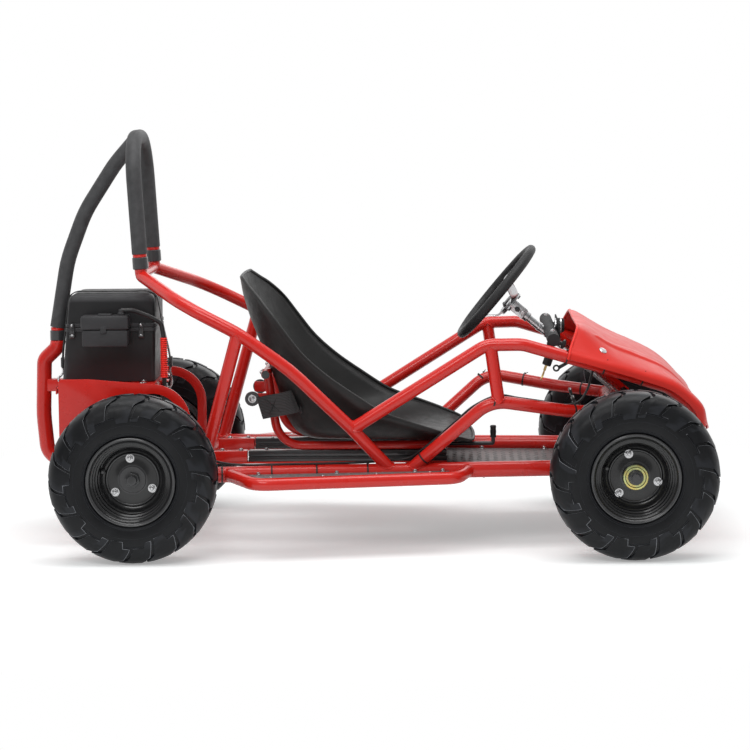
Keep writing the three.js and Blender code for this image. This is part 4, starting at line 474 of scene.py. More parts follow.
def bright_metal(name, rgb, roughness=0.28, streak=(1, 1, 1), rainbow=None):
    f = Finish(name, roughness, metallic=1.0)
    fine = f.span(f.noise(300, 4, place=f.stretched(streak)), 0.3, 0.7, 0, 1)
    base = f.blend(fine, tinted(rgb, 0.92), tinted(rgb, 1.05))
    if rainbow:
        base = f.blend(f.span(f.noise(70, 3), 0.42, 0.62, 0, 1), base, rainbow)
    f.colour(base)
    f.rough(f.span(f.noise(120, 5), 0.3, 0.7, roughness - 0.08, roughness + 0.12))
    return f.material


def woven_strap(name, rgb):
    f = Finish(name, 0.85)
    f.shader.inputs["Sheen Weight"].default_value = 0.25
    f.shader.inputs["Sheen Roughness"].default_value = 0.5
    warp = f.nodes.new("ShaderNodeTexWave")
    warp.bands_direction = "Z"
    weft = f.nodes.new("ShaderNodeTexWave")
    weft.bands_direction = "DIAGONAL"
    for wave, scale in ((warp, 95.0), (weft, 130.0)):
        f.links.new(f.place, wave.inputs["Vector"])
        wave.inputs["Scale"].default_value = scale
        wave.inputs["Distortion"].default_value = 0.6
    threads = f.blend(0.5, warp.outputs["Color"], weft.outputs["Color"])
    shade = f.nodes.new("ShaderNodeRGBToBW")
    f.links.new(threads, shade.inputs[0])
    f.colour(f.blend(shade.outputs[0], tinted(rgb, 0.6), tinted(rgb, 1.6)))
    f.relief(shade.outputs[0], 0.0006, 0.7)
    return f.material


def tread_plate(name):
    f = Finish(name, 0.55, metallic=0.3, specular=0.06)
    broad = f.span(f.noise(14, 5), 0.3, 0.7, 0, 1)
    base = f.blend(broad, (0.05, 0.046, 0.046), (0.10, 0.092, 0.092))
    # The lozenges' edges are painted lighter: painted highlight
    f.colour(f.edges(base, (0.2, 0.19, 0.19), 0.004))
    f.rough(f.span(f.noise(90, 5), 0.3, 0.7, 0.42, 0.58))
    f.relief(f.noise(380, 5), 0.00006, 0.3)
    return f.material


def smooth_jacket(name, rgb, roughness=0.4):
    f = Finish(name, roughness)
    mottled = f.span(f.noise(50, 4), 0.3, 0.7, 0, 1)
    f.colour(f.blend(mottled, tinted(rgb, 0.8), tinted(rgb, 1.25)))
    f.rough(f.span(f.noise(160, 4), 0.3, 0.7, roughness - 0.06, roughness + 0.12))
    f.relief(f.noise(700, 3), 0.0001, 0.3)
    return f.material


RED = powder_coat("red powder coat", (0.52, 0.012, 0.007))
RED_HOOD = gloss_moulding("red gloss moulding", (0.66, 0.030, 0.022))
RED_SLEEVE = grained_plastic("red ribbed sleeve", (0.60, 0.022, 0.015), 0.42)
# Its third colour is the lighter painted highlight on sharp edges
BLACK_COAT = powder_coat("black satin coat", (0.011, 0.011, 0.0118), 0.33, (0.04, 0.04, 0.042))
FOAM = foam_sleeve("black foam sleeve", (0.044, 0.044, 0.046))
BOX_PLASTIC = grained_plastic("black box moulding", (0.018, 0.0178, 0.019), 0.42)
LID_PLASTIC = grained_plastic("black lid moulding", (0.016, 0.0158, 0.017), 0.44, 900, 0.00014)
SEAT_PLASTIC = grained_plastic("black seat moulding", (0.0105, 0.0104, 0.0104), 0.46, 1100, 0.00018)
GRIP = grained_plastic("black wheel grip", (0.012, 0.012, 0.0125), 0.5, 700, 0.00005)
TYRE = tread_rubber("black tyre rubber", (0.0056, 0.0060, 0.0072))
# Lighter rubber for the lugs' eased edges: a painted highlight along them
LUG_EDGE_HIGHLIGHT = tread_rubber("lug edge painted highlight", (0.068, 0.070, 0.076))
WEBBING = woven_strap("black woven strap", (0.035, 0.035, 0.036))
ZINC = bright_metal("bright zinc plate", (0.60, 0.60, 0.61), 0.24)
YELLOW_ZINC = bright_metal("yellow zinc plate", (0.62, 0.50, 0.17), 0.34, rainbow=(0.50, 0.56, 0.27))
STEEL = bright_metal("machined steel", (0.50, 0.50, 0.51), 0.34, (1, 12, 1))
BRASS = bright_metal("brass fitting", (0.72, 0.52, 0.20), 0.3)
CAST = bright_metal("cast aluminium", (0.55, 0.55, 0.56), 0.42)
DULL_BLACK = grained_plastic("dull black coat", (0.011, 0.011, 0.0115), 0.75)
TREAD = tread_plate("tread plate")
JACKET = smooth_jacket("black cable jacket", (0.018, 0.018, 0.019))
TIE = smooth_jacket("black cable tie", (0.012, 0.012, 0.012), 0.5)
MOTOR_COAT = powder_coat("black motor enamel", (0.022, 0.022, 0.024), 0.45)


# Camera, light and floor

ROOM_LIGHT = 0.5  # soft light from all round
ROOM_MIRRORED = 0.25  # how bright the room behind the camera looks in shiny surfaces
FLOOR_LIFT = 0.32
# The floor near the object keeps its shadow, and further off it is white
FLOOR_SPREAD = (1 / 1.05, 1 / 0.85, 0)
LENS = 133.01
CAMERA_AT = Vector((177.3, -5697.5, 931.9)) * MM
YAW, PITCH, ROLL = 1.678, -6.0665, 0.6409


def set_camera():
    data = bpy.data.cameras.new("camera")
    data.lens = LENS
    data.sensor_width = 36
    data.clip_end = 100
    camera = bpy.data.objects.new("camera", data)
    look = (Matrix.Rotation(math.radians(YAW), 3, "Z") @ Matrix.Rotation(math.radians(PITCH), 3, "X")
            @ Matrix.Rotation(math.radians(ROLL), 3, "Y"))
    right, ahead, up = look.col[0], look.col[1], look.col[2]
    turn = Matrix((right, up, -ahead)).transposed()
    camera.matrix_world = Matrix.Translation(CAMERA_AT) @ turn.to_4x4()
    bpy.context.collection.objects.link(camera)
    bpy.context.scene.camera = camera


def lamp(name, place, target, size, power):
    data = bpy.data.lights.new(name, "AREA")
    data.shape = "RECTANGLE"
    data.size, data.size_y = size
    data.energy = power
    light = bpy.data.objects.new(name, data)
    light.location = place
    light.rotation_euler = (Vector(target) - Vector(place)).to_track_quat("-Z", "Y").to_euler()
    bpy.context.collection.objects.link(light)


def looked_at(nodes, links, rays):
    """One where one of these rays meets the place, and nought where it only gives light."""
    path = nodes.new("ShaderNodeLightPath")
    seen = path.outputs[rays[0]]
    for ray in rays[1:]:
        either = nodes.new("ShaderNodeMath")
        either.operation = "MAXIMUM"
        links.new(seen, either.inputs[0])
        links.new(path.outputs[ray], either.inputs[1])
        seen = either.outputs[0]
    return seen


def set_light():
    lamp("overhead softbox", (0.1, -0.5, 3.2), (0, 0, 0.2), (3.2, 1.6), 60)
    lamp("front softbox", (-1.0, -3.3, 2.9), (0, 0, 0.3), (2.2, 1.2), 42)
    lamp("back softbox", (0.8, 3.4, 1.9), (0, 0, 0.4), (2.6, 1.4), 12)
    world = bpy.data.worlds.new("studio")
    world.use_nodes = True
    nodes, links = world.node_tree.nodes, world.node_tree.links
    back = nodes["Background"]
    back.inputs["Color"].default_value = (1, 1, 1, 1)
    # The white backdrop stands behind the object, and the room on the other side is dimmer
    way = nodes.new("ShaderNodeSeparateXYZ")
    links.new(nodes.new("ShaderNodeTexCoord").outputs["Generated"], way.inputs[0])
    side = nodes.new("ShaderNodeMapRange")
    links.new(way.outputs["Y"], side.inputs["Value"])
    for key, number in (("From Min", -0.35), ("From Max", 0.25), ("To Min", ROOM_MIRRORED), ("To Max", 1)):
        side.inputs[key].default_value = number
    mirrored = nodes.new("ShaderNodeMix")
    links.new(looked_at(nodes, links, ("Is Glossy Ray",)), mirrored.inputs["Factor"])
    mirrored.inputs[2].default_value = ROOM_LIGHT
    links.new(side.outputs["Result"], mirrored.inputs[3])
    strength = nodes.new("ShaderNodeMath")
    strength.operation = "MAXIMUM"
    links.new(looked_at(nodes, links, ("Is Camera Ray", "Is Transmission Ray")), strength.inputs[0])
    links.new(mirrored.outputs[0], strength.inputs[1])
    links.new(strength.outputs[0], back.inputs["Strength"])
    bpy.context.scene.world = world
    bpy.context.scene.view_settings.view_transform = "Standard"


def set_floor():
    mesh = bpy.data.meshes.new("floor")
    bm = bmesh.new()
    bmesh.ops.create_grid(bm, x_segments=1, y_segments=1, size=9)
    bm.to_mesh(mesh)
    bm.free()
    floor = bpy.data.objects.new("floor", mesh)
    bpy.context.collection.objects.link(floor)
    f = Finish("white floor", 0.9, specular=0.0)
    f.shader.inputs["Base Color"].default_value = (0.83, 0.85, 0.85, 1)
    seen = looked_at(f.nodes, f.links, ("Is Camera Ray", "Is Glossy Ray", "Is Transmission Ray"))
    lifted = f.nodes.new("ShaderNodeAddShader")
    glow = f.nodes.new("ShaderNodeEmission")
    f.links.new(f.span(seen, 0, 1, 0, FLOOR_LIFT), glow.inputs["Strength"])
    f.links.new(f.shader.outputs[0], lifted.inputs[0])
    f.links.new(glow.outputs[0], lifted.inputs[1])
    away = f.nodes.new("ShaderNodeVectorMath")
    away.operation = "LENGTH"
    f.links.new(f.stretched(FLOOR_SPREAD), away.inputs[0])
    far = f.nodes.new("ShaderNodeMath")
    far.operation = "MULTIPLY"
    f.links.new(f.span(away.outputs["Value"], 0.85, 1.7, 0, 1), far.inputs[0])
    f.links.new(seen, far.inputs[1])
    mixed = f.nodes.new("ShaderNodeMixShader")
    f.links.new(far.outputs[0], mixed.inputs[0])
    f.links.new(lifted.outputs[0], mixed.inputs[1])
    f.links.new(f.nodes.new("ShaderNodeEmission").outputs[0], mixed.inputs[2])
    f.links.new(mixed.outputs[0], f.nodes["Material Output"].inputs["Surface"])
    mesh.materials.append(f.material)


set_camera()
set_light()
set_floor()


# Cords: the brake hose and the motor's cable, on the same routes as their solids

HOSE_ROUTE = [
    (455, -198, 366), (448, -200, 345), (440, -204, 318), (424, -209, 294), (400, -213, 286),
    (352, -223.5, 294), (300, -234, 303), (262, -240, 309), (214, -240, 289), (182, -233, 262),
    (146, -228, 230), (110, -220, 200), (85, -206, 182), (39, -208, 176), (-15, -219, 174.2),
    (-60, -226.2, 174), (-160, -235.4, 174), (-250, -243.6, 174.2), (-300, -236, 180),
    (-338, -200, 192), (-362, -158, 218), (-377, -122, 236), (-385.6, -98, 241), (-387, -85.5, 241.5),
]
HOSE_RADIUS = 2.5
CABLE_ROUTE = [
    (-500, -110, 474), (-476, -110, 474), (-446, -104, 462), (-421, -93, 446), (-417, -90, 416),
    (-417, -90, 334), (-417, -90, 300), (-440, -74, 272), (-480, -56, 256), (-511.5, -50, 250),
]
CABLE_RADIUS, CABLE_BEND = 4.5, 18


def make_cord(name, places, radius, node):
    curve = bpy.data.curves.new(name, "CURVE")
    curve.dimensions = "3D"
    curve.bevel_depth = radius * MM
    curve.bevel_resolution = 5
    curve.use_fill_caps = True
    spline = curve.splines.new("POLY")
    spline.points.add(len(places) - 1)
    for point, place in zip(spline.points, places):
        point.co = (*(place * MM), 1)
    cord = bpy.data.objects.new(name, curve)
    bpy.context.collection.objects.link(cord)
    curve.materials.append(JACKET)
    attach(cord, "frame")
    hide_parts(node)
    length = sum((b - a).length for a, b in zip(places, places[1:])) * MM


make_cord("brake_hose_line", smooth_line(HOSE_ROUTE), HOSE_RADIUS, "brake_hose")
make_cord("power_cable_line", bent(CABLE_ROUTE, CABLE_BEND), CABLE_RADIUS, "power_cable")


# Driving sizes, as on the solids

# Tubes' radii
UPPER, LOWER, SEAT_TUBE, HOOP_CROSS = 12.7, 15.9, 9.0, 9.5
RAIL_REAR, RAIL_FRONT, RAIL_Z = (-350, 263), (640, 170), 157
REAR_X, FRONT_X, WHEEL_Y, AXLE_Z = -453, 523, 355, 165

RAIL_SPLAY = -0.094  # how far a rail runs inward for each unit that it runs forward


def rail_way(side):
    """The direction in which the main rail on this side runs forward."""
    return 1, RAIL_SPLAY * side, 0


def rail_y(x):
    return share(RAIL_REAR[1], RAIL_FRONT[1], (x - RAIL_REAR[0]) / (RAIL_FRONT[0] - RAIL_REAR[0]))


HOOP_FOOT, HOOP_TOP = Vector((-457, 124, 558)), Vector((-472, 124, 821.5))
REAR_CROSS_X = RAIL_REAR[0] + LOWER / 2
BEAM_CROSS = Vector((495, 190, 266))


def on_side(points, side):
    return [Vector((p[0], side * p[1], p[2])) for p in points]


def upper_rail_route(side):
    return on_side([
        (-457, 124, 558), (-456, 124, 545), (-360, 275, 497), (-250, 291, 441), (-150, 283, 368),
        (-29, 249, 245), (49, rail_y(49), 157),
    ], side)


def front_tube_route(side):
    return on_side([
        (-29, 249, 245), (238, 255, 411), (310, 262, 412), (480, 252, 361), (597, 228, 322),
        (652, 208, 280), (668, rail_y(640), 200), (640, 170, 157),
    ], side)


def low_tube_route(side):
    return on_side([(82, rail_y(82), RAIL_Z), (246, 257, 301), (395, 227, 276), tuple(BEAM_CROSS)], side)


def stay_route():
    return [Vector(p) for p in (
        (-472, 0, 821.5), (-520, 0, 767), (-584, 0, 669), (-622, 0, 570), (-646, 0, 428), (-646, 0, 402))]


# Frame

def make_rails():
    for name, side in SIDES:
        bm = bmesh.new()
        route = [(RAIL_REAR[0], side * RAIL_REAR[1], RAIL_Z), (RAIL_FRONT[0], side * RAIL_FRONT[1], RAIL_Z)]
        if side < 0:
            route.append((RAIL_FRONT[0], RAIL_FRONT[1], RAIL_Z))
        tube(bm, bent(route, LOWER * 2), LOWER, 24)
        rod(bm, Vector(route[0]) - Vector((1.5, 0, 0)), route[0], LOWER * 0.9, 24, 1)
        piece(f"main_rail_{name}_tube", bm, "frame", RED, [f"main_rail_{name}"])
    bm = bmesh.new()
    ends = [(REAR_CROSS_X, side * rail_y(REAR_CROSS_X), RAIL_Z) for _, side in SIDES]
    tube(bm, [Vector(p) for p in ends], LOWER * 0.98, 24)
    for _, side in SIDES:
        foot = Vector((REAR_CROSS_X, side * rail_y(REAR_CROSS_X), RAIL_Z))
        weld(bm, foot, (0, -side, 0), LOWER * 0.98, (1, 0, 0), LOWER, 2)
    piece("rear_cross", bm, "frame", RED, ["rear_cross_tube"])


def make_upper_frame():
    for name, side in SIDES:
        bm = bmesh.new()
        rail = upper_rail_route(side)
        tube(bm, bent(rail, [20, 160, 160, 320, 160]), UPPER)
        weld(bm, rail[-1], rail[-2] - rail[-1], UPPER, rail_way(side), LOWER)
        if side < 0:
            left, right = Vector((-456, 124, 545)), Vector((-456, -124, 545))
            tube(bm, [right, left], HOOP_CROSS)
            weld(bm, left, -ACROSS, HOOP_CROSS, UP, UPPER)
            weld(bm, right, ACROSS, HOOP_CROSS, UP, UPPER)
        piece(f"upper_rail_{name}_tube", bm, "frame", RED, [f"upper_rail_{name}"])

        bm = bmesh.new()
        top = rail[3]
        foot = Vector((-330, side * rail_y(-330), RAIL_Z))
        tube(bm, [top, foot], UPPER)
        weld(bm, top, foot - top, UPPER, rail[4] - rail[2], UPPER)
        weld(bm, foot, top - foot, UPPER, rail_way(side), LOWER)
        piece(f"upright_{name}_tube", bm, "frame", RED, [f"upright_{name}"])

        bm = bmesh.new()
        front = front_tube_route(side)
        tube(bm, bent(front, [60, 60, 160, 60, 60, 30]), UPPER)
        weld(bm, front[0], front[1] - front[0], UPPER, rail[5] - rail[4], UPPER)
        weld(bm, front[-1], front[-2] - front[-1], UPPER, rail_way(side), LOWER)
        piece(f"front_tube_{name}_tube", bm, "frame", RED, [f"front_tube_{name}"])

        bm = bmesh.new()
        low = low_tube_route(side)
        post_top = Vector((246, side * 255, 411))
        post_foot = Vector((262, side * 257, 301 - UPPER / 2))
        tube(bm, bent(low, 70), UPPER)
        tube(bm, [post_top, post_foot], UPPER)
        weld(bm, low[0], low[1] - low[0], UPPER, rail_way(side), LOWER)
        weld(bm, post_top, post_foot - post_top, UPPER, (1, 0, 0.1), UPPER)
        weld(bm, post_foot, post_top - post_foot, UPPER, (1, 0, -0.1), UPPER)
        piece(f"low_tube_{name}_tube", bm, "frame", RED, [f"low_tube_{name}"])


def make_hoop():
    bm = bmesh.new()
    route = [Vector((p.x, side * p.y, p.z)) for side, p in ((-1, HOOP_FOOT), (-1, HOOP_TOP), (1, HOOP_TOP),
                                                            (1, HOOP_FOOT))]
    lean = (HOOP_TOP - HOOP_FOOT).normalized()
    tube(bm, bent(route, 90, math.radians(5)), UPPER, 24)
    for _, side in SIDES:
        foot = Vector((HOOP_FOOT.x, side * 124, HOOP_FOOT.z + 0.3))
        turned(bm, [(0, 0), (0, 14.4), (1.2, LOWER), (22.8, LOWER), (24, 14.6), (24, 0)], foot, lean, 32)
        turned(bm, [(24.2, 0), (24.2, 13.0), (24.6, 13.2)], foot, lean, 32)
    piece("roll_hoop_tube", bm, "frame", BLACK_COAT, ["roll_hoop"])
    bm = bmesh.new()
    ring = [(0, 12), (0, 13.9), (0.6, 14.3), (5.4, 14.3), (6, 13.9), (6, 12)]
    for _, side in SIDES:
        foot = Vector((HOOP_FOOT.x, side * 124, HOOP_FOOT.z)) + lean * 24.6
        turned(bm, ring, foot, lean, 32, closed=True)
    turned(bm, ring, (-646, 0, 425.2), UP, 32, closed=True)
    piece("red_sleeve_rings", bm, "frame", RED)

    bm = bmesh.new()
    start = [Vector((HOOP_FOOT.x, side * 124, HOOP_FOOT.z)) + lean * 31 for _, side in SIDES]
    pad = bent([start[0], route[1], route[2], start[1]], 90, math.radians(4))
    tube(bm, pad, 15.5, 28)
    for end, ahead in ((pad[0], pad[1]), (pad[-1], pad[-2])):
        turned(bm, [(0.2, 11.5), (-0.9, 12.5), (-0.9, 14.4), (0.2, 15.4)], end, end - ahead, 28)
    piece("hoop_foam", bm, "frame", FOAM, ["hoop_pad"])

    bm = bmesh.new()
    stay = bent(stay_route(), 260, math.radians(4))
    tube(bm, stay, UPPER)
    bumper = bent([(-646, 0, 401), (-649, 0, 388), (-675, 0, 364), (-679, 0, 250), (-672, 0, 168),
                   (-635, 0, 150), (-557, 0, 150)], [22, 22, 260, 40, 40])
    tube(bm, bumper, 15.5, 28)
    rod(bm, (-646, 0, 398), (-646, 0, 404), LOWER, 28, 1)
    tube(bm, [Vector((-557, -175.7, 150)), Vector((-557, 175.7, 150))], UPPER)
    weld(bm, (-557, 0, 150), (-1, 0, 0), 15.5, (0, 1, 0), 15.6, 2)
    piece("rear_stay_tube", bm, "frame", RED, ["rear_stay"])
    bm = bmesh.new()
    turned(bm, [(0, 0), (0, 14.6), (1.0, LOWER), (19.6, LOWER), (20.6, 14.6), (20.6, 0)],
           Vector((-646, 0, 404.4)), UP, 32)
    piece("stay_collar", bm, "frame", BLACK_COAT)
    bm = bmesh.new()
    pad_route = stay_route()[:-1]
    pad_route[-1] = Vector((-646, 0, 431.4))
    pad_route[0] = pad_route[0] + (pad_route[1] - pad_route[0]).normalized() * 14
    tube(bm, bent(pad_route, 260, math.radians(4)), 15.5, 28)
    piece("stay_foam", bm, "frame", FOAM, ["stay_pad"])


def lozenge(bm, place, angle, length=11, width=3.2, height=1.0):
    """One raised lozenge of a tread plate."""
    matrix = (Matrix.Translation(Vector(place) + UP * height / 2) @ Matrix.Rotation(angle, 4, "Z")
              @ Matrix.Diagonal((length, width, height, 1)))
    bmesh.ops.create_cone(bm, cap_ends=True, segments=6, radius1=1, radius2=0.62, depth=1, matrix=matrix)


def inside(x, y, outline):
    """Whether a place lies inside an outline that turns one way."""
    signs = set()
    for i, (ax, ay) in enumerate(outline):
        bx, by = outline[(i + 1) % len(outline)]
        signs.add((bx - ax) * (y - ay) - (by - ay) * (x - ax) > 0)
    return len(signs) == 1


def tread_sheet(bm, outline, top, thickness, margin=9, pitch=17):
    """A sheet with rows of lozenges that lean left and right by turns."""
    prism(bm, [[(x, y, top - thickness) for x, y in outline]], (0, 0, thickness), 0.5)
    cx = sum(x for x, _ in outline) / len(outline)
    cy = sum(y for _, y in outline) / len(outline)
    kept = [(x - math.copysign(margin, x - cx), y - math.copysign(margin, y - cy)) for x, y in outline]
    xs, ys = [x for x, _ in outline], [y for _, y in outline]
    for i in range(int((max(xs) - min(xs)) / pitch) + 1):
        for j in range(int((max(ys) - min(ys)) / pitch) + 1):
            x, y = min(xs) + i * pitch, min(ys) + j * pitch
            if inside(x, y, kept):
                lean = math.radians(45 if (i + j) % 2 else -45)
                lozenge(bm, (x, y, top - 0.1), lean, 8.5, 2.6, 0.9)


def make_side_bars():
    for name, side in SIDES:
        bm = bmesh.new()
        route = on_side([(-278, rail_y(-278), 157), (-215, 362, 151), (180, 283, 151),
                         (203, rail_y(203), 157)], side)
        tube(bm, bent(route, 38), UPPER)
        weld(bm, route[0], route[1] - route[0], UPPER, rail_way(side), LOWER)
        weld(bm, route[-1], route[-2] - route[-1], UPPER, rail_way(side), LOWER)
        piece(f"side_bar_{name}_tube", bm, "frame", RED, [f"side_bar_{name}"])
        bm = bmesh.new()
        outline = [(-240, side * (rail_y(-240) + 12)), (165, side * (rail_y(165) + 12)), (142, side * 286),
                   (-190, side * 352)]
        tread_sheet(bm, outline, 158, 2.5)
        piece(f"side_step_{name}", bm, "frame", TREAD)
        bm = bmesh.new()
        for x in (-185, -85, 20, 125):
            y = share(352, 286, (x + 190) / 332) - 14
            bolt(bm, (x, side * y, 158), UP, 4.5)
        for x in (-215, -60, 95, 150):
            bolt(bm, (x, side * (rail_y(x) + 22), 158), UP, 4.5)
        piece(f"side_step_bolts_{name}", bm, "frame", ZINC)


def make_floor():
    bm = bmesh.new()
    x0, x1 = 72, 507
    outline = [(x0, -(rail_y(x0) - 12)), (x1, -(rail_y(x1) - 12)), (x1, rail_y(x1) - 12),
               (x0, rail_y(x0) - 12)]
    tread_sheet(bm, outline, 146.25, 2.5)
    for y in (-72, 72):
        for side in (-1, 1):
            low, high = sorted((y + side * 5.6, y + side * 10.6))
            block(bm, (453, low, 145.5), (471, high, 169), 1.2)
        rod(bm, (462, y - 8, 160.25), (462, y + 8, 160.25), 4.9, 16, 0.5)
    piece("floor_tread", bm, "frame", TREAD, ["floor_pan"])
    bm = bmesh.new()
    for x in (100, 232, 365, 485):
        for _, side in SIDES:
            bolt(bm, (x, side * (rail_y(x) - 24), 146.25), UP, 5)
            bolt(bm, (x, side * (rail_y(x) - 24), 143.75), -UP, 4, 5)
    piece("floor_bolts", bm, "frame", ZINC)


def make_side_plates():
    arch_x, arch_z, arch, band = -433, 253, 77, 19

    def arc(radius, start, end, count):
        return [(arch_x + radius * math.cos(share(start, end, k / count)),
                 arch_z + radius * math.sin(share(start, end, k / count))) for k in range(count + 1)]

    corner = [(-622 + 8 * (1 - math.cos(a)), 341 - 8 * (1 - math.sin(a))) for a in
              (math.radians(12 * k) for k in range(8))][::-1]
    outline = [(-622, 138), (arch_x + arch - band, 138), (arch_x + arch, 146),
               *arc(arch, 0, math.pi / 2, 24),
               (-560, 341), *corner]
    inner = arch - band
    window = [(arch_x - inner, 212), (arch_x + inner, 212), *arc(inner, 0, math.pi, 30)]
    for name, side in SIDES:
        bm = bmesh.new()
        y0 = side * 178 - 2
        prism(bm, [[(x, y0, z) for x, z in outline], [(x, y0, z) for x, z in window]], (0, 4, 0), 0.7)
        place = Vector((REAR_X, side * 180, AXLE_Z))
        inward = Vector((0, -side, 0))
        turned(bm, [(0, 14), (0, 28.5), (1.5, 30), (14.5, 30), (16, 28.5), (16, 14)], place, inward, 48,
               closed=True)
        turned(bm, [(16, 14), (16, 22), (19, 20), (19, 14)], place, inward, 48, closed=True)
        piece(f"side_plate_{name}_sheet", bm, "frame", RED, [f"side_plate_{name}"])
        bm = bmesh.new()
        for k in range(3):
            spot = round_y(place, 24, 30 + 120 * k)
            bolt(bm, spot + Vector((0, side * 0.5, 0)), (0, side, 0), 5)
            bolt(bm, spot - Vector((0, side * 16, 0)), (0, -side, 0), 5)
        piece(f"axle_bearing_bolts_{name}", bm, "frame", ZINC)


make_rails()
make_upper_frame()
make_hoop()
make_side_bars()
make_floor()
make_side_plates()


# Wheels

TYRE_HALF_LINE = smooth_line([
    (0, 159.6, 0), (22, 159.2, 0), (37, 157.0, 0), (47, 152.2, 0), (54, 144.3, 0), (58.2, 134.8, 0),
    (60.6, 124, 0), (61.4, 113, 0), (60.9, 103, 0), (59.4, 95, 0), (57.2, 90, 0), (54.6, 87.4, 0),
], 5)


def tyre_surface(part):
    """The place (across, radius) and the outward direction at a share of the way from crown to bead."""
    here, run = along_line(TYRE_HALF_LINE, part)
    return here.x, here.y, Vector((-run.y, run.x))


LUGS = 18
# Shares of a lug's width, with the step in its end between the third and fourth
LUG_STEPS = (0, 0.3, 0.6, 0.64, 1)


def make_lug(bm, centre, hand, turn, long_one):
    """One lug: a block on the crown that slants over the shoulder and ends in a step on the sidewall."""
    ends = (0.60, 0.60, 0.60, 0.49, 0.49) if long_one else (0.50, 0.50, 0.50, 0.58, 0.58)

    def place(u, v, lift):
        stage = round(v * 4)
        part = share(0.03, ends[stage], u)
        across, radius, out = tyre_surface(part)
        rise = share(4.9, 1.3, held((part - 0.16) / 0.3))
        amount = share(-1.2, rise, lift)
        width = share(0.84, 0.90, u) * (1 - 0.04 * lift)
        lean = 0.5 * u - 0.22 * math.sin(math.pi * min(u * 2, 1))
        angle = (turn + (LUG_STEPS[stage] - 0.5) * width + lean) * 2 * math.pi / LUGS
        reach = radius + out.y * amount
        return centre + Vector((reach * math.cos(angle), hand * (across + out.x * amount),
                                reach * math.sin(angle)))

    # The eased top edges take the tyre's second finish, a painted highlight along the lug's edges
    slab(bm, 12, 4, place, 0.55, 1)


def make_tyre(name, body, x, side):
    bm = bmesh.new()
    centre = Vector((x, side * WHEEL_Y, AXLE_Z))
    axle = Vector((0, side, 0))
    outer = [(p.x, p.y) for p in TYRE_HALF_LINE]
    bead = [(52.6, 85.8), (52, 78), (46, 77.5), (46, 84), (52, 98), (53, 120), (46, 140), (30, 147)]
    half = outer + bead
    outline = half + [(-a, r) for a, r in reversed(half[1:])]
    turned(bm, outline, centre, axle, 96, closed=True)
    for hand in (-1, 1):
        for radius, across, height in ((127.5, 60.0, 0.9), (94.5, 59.3, 0.8), (91.3, 57.9, 0.7),
                                       (111, 61.4, 0.35)):
            turned(bm, [(hand * (across - 1), radius - 1.1), (hand * (across + height), radius - 0.3),
                        (hand * (across + height), radius + 0.3), (hand * (across - 1), radius + 1.1)],
                   centre, axle, 96, closed=True)
    for hand in (-1, 1):
        for k in range(LUGS):
            make_lug(bm, centre, side * hand, k + 0.5 * (hand > 0), k % 2 == 0)
    tread = piece(f"{name}_tread", bm, body, TYRE, [name], crease=32)
    # The second finish, for the lugs' edges, is a painted highlight
    tread.data.materials.append(LUG_EDGE_HIGHLIGHT)


RIM_LINE = [
    (56, 87.2), (59.2, 86.6), (60, 84.6), (58.6, 81.8), (54.5, 79.6), (52, 77.4), (50.5, 75.4),
    (46, 74.8), (44.5, 74.2), (43.4, 71.6), (39, 70.8), (36, 70.2), (34.8, 67.4), (30.5, 66.4),
    (27, 65.8), (25.5, 63.2), (21.5, 61.6), (18.5, 59.6), (16, 56.4), (15.2, 54.4), (16.6, 52.6),
    (18.6, 51.2), (18.4, 49.4), (17.1, 48),
]


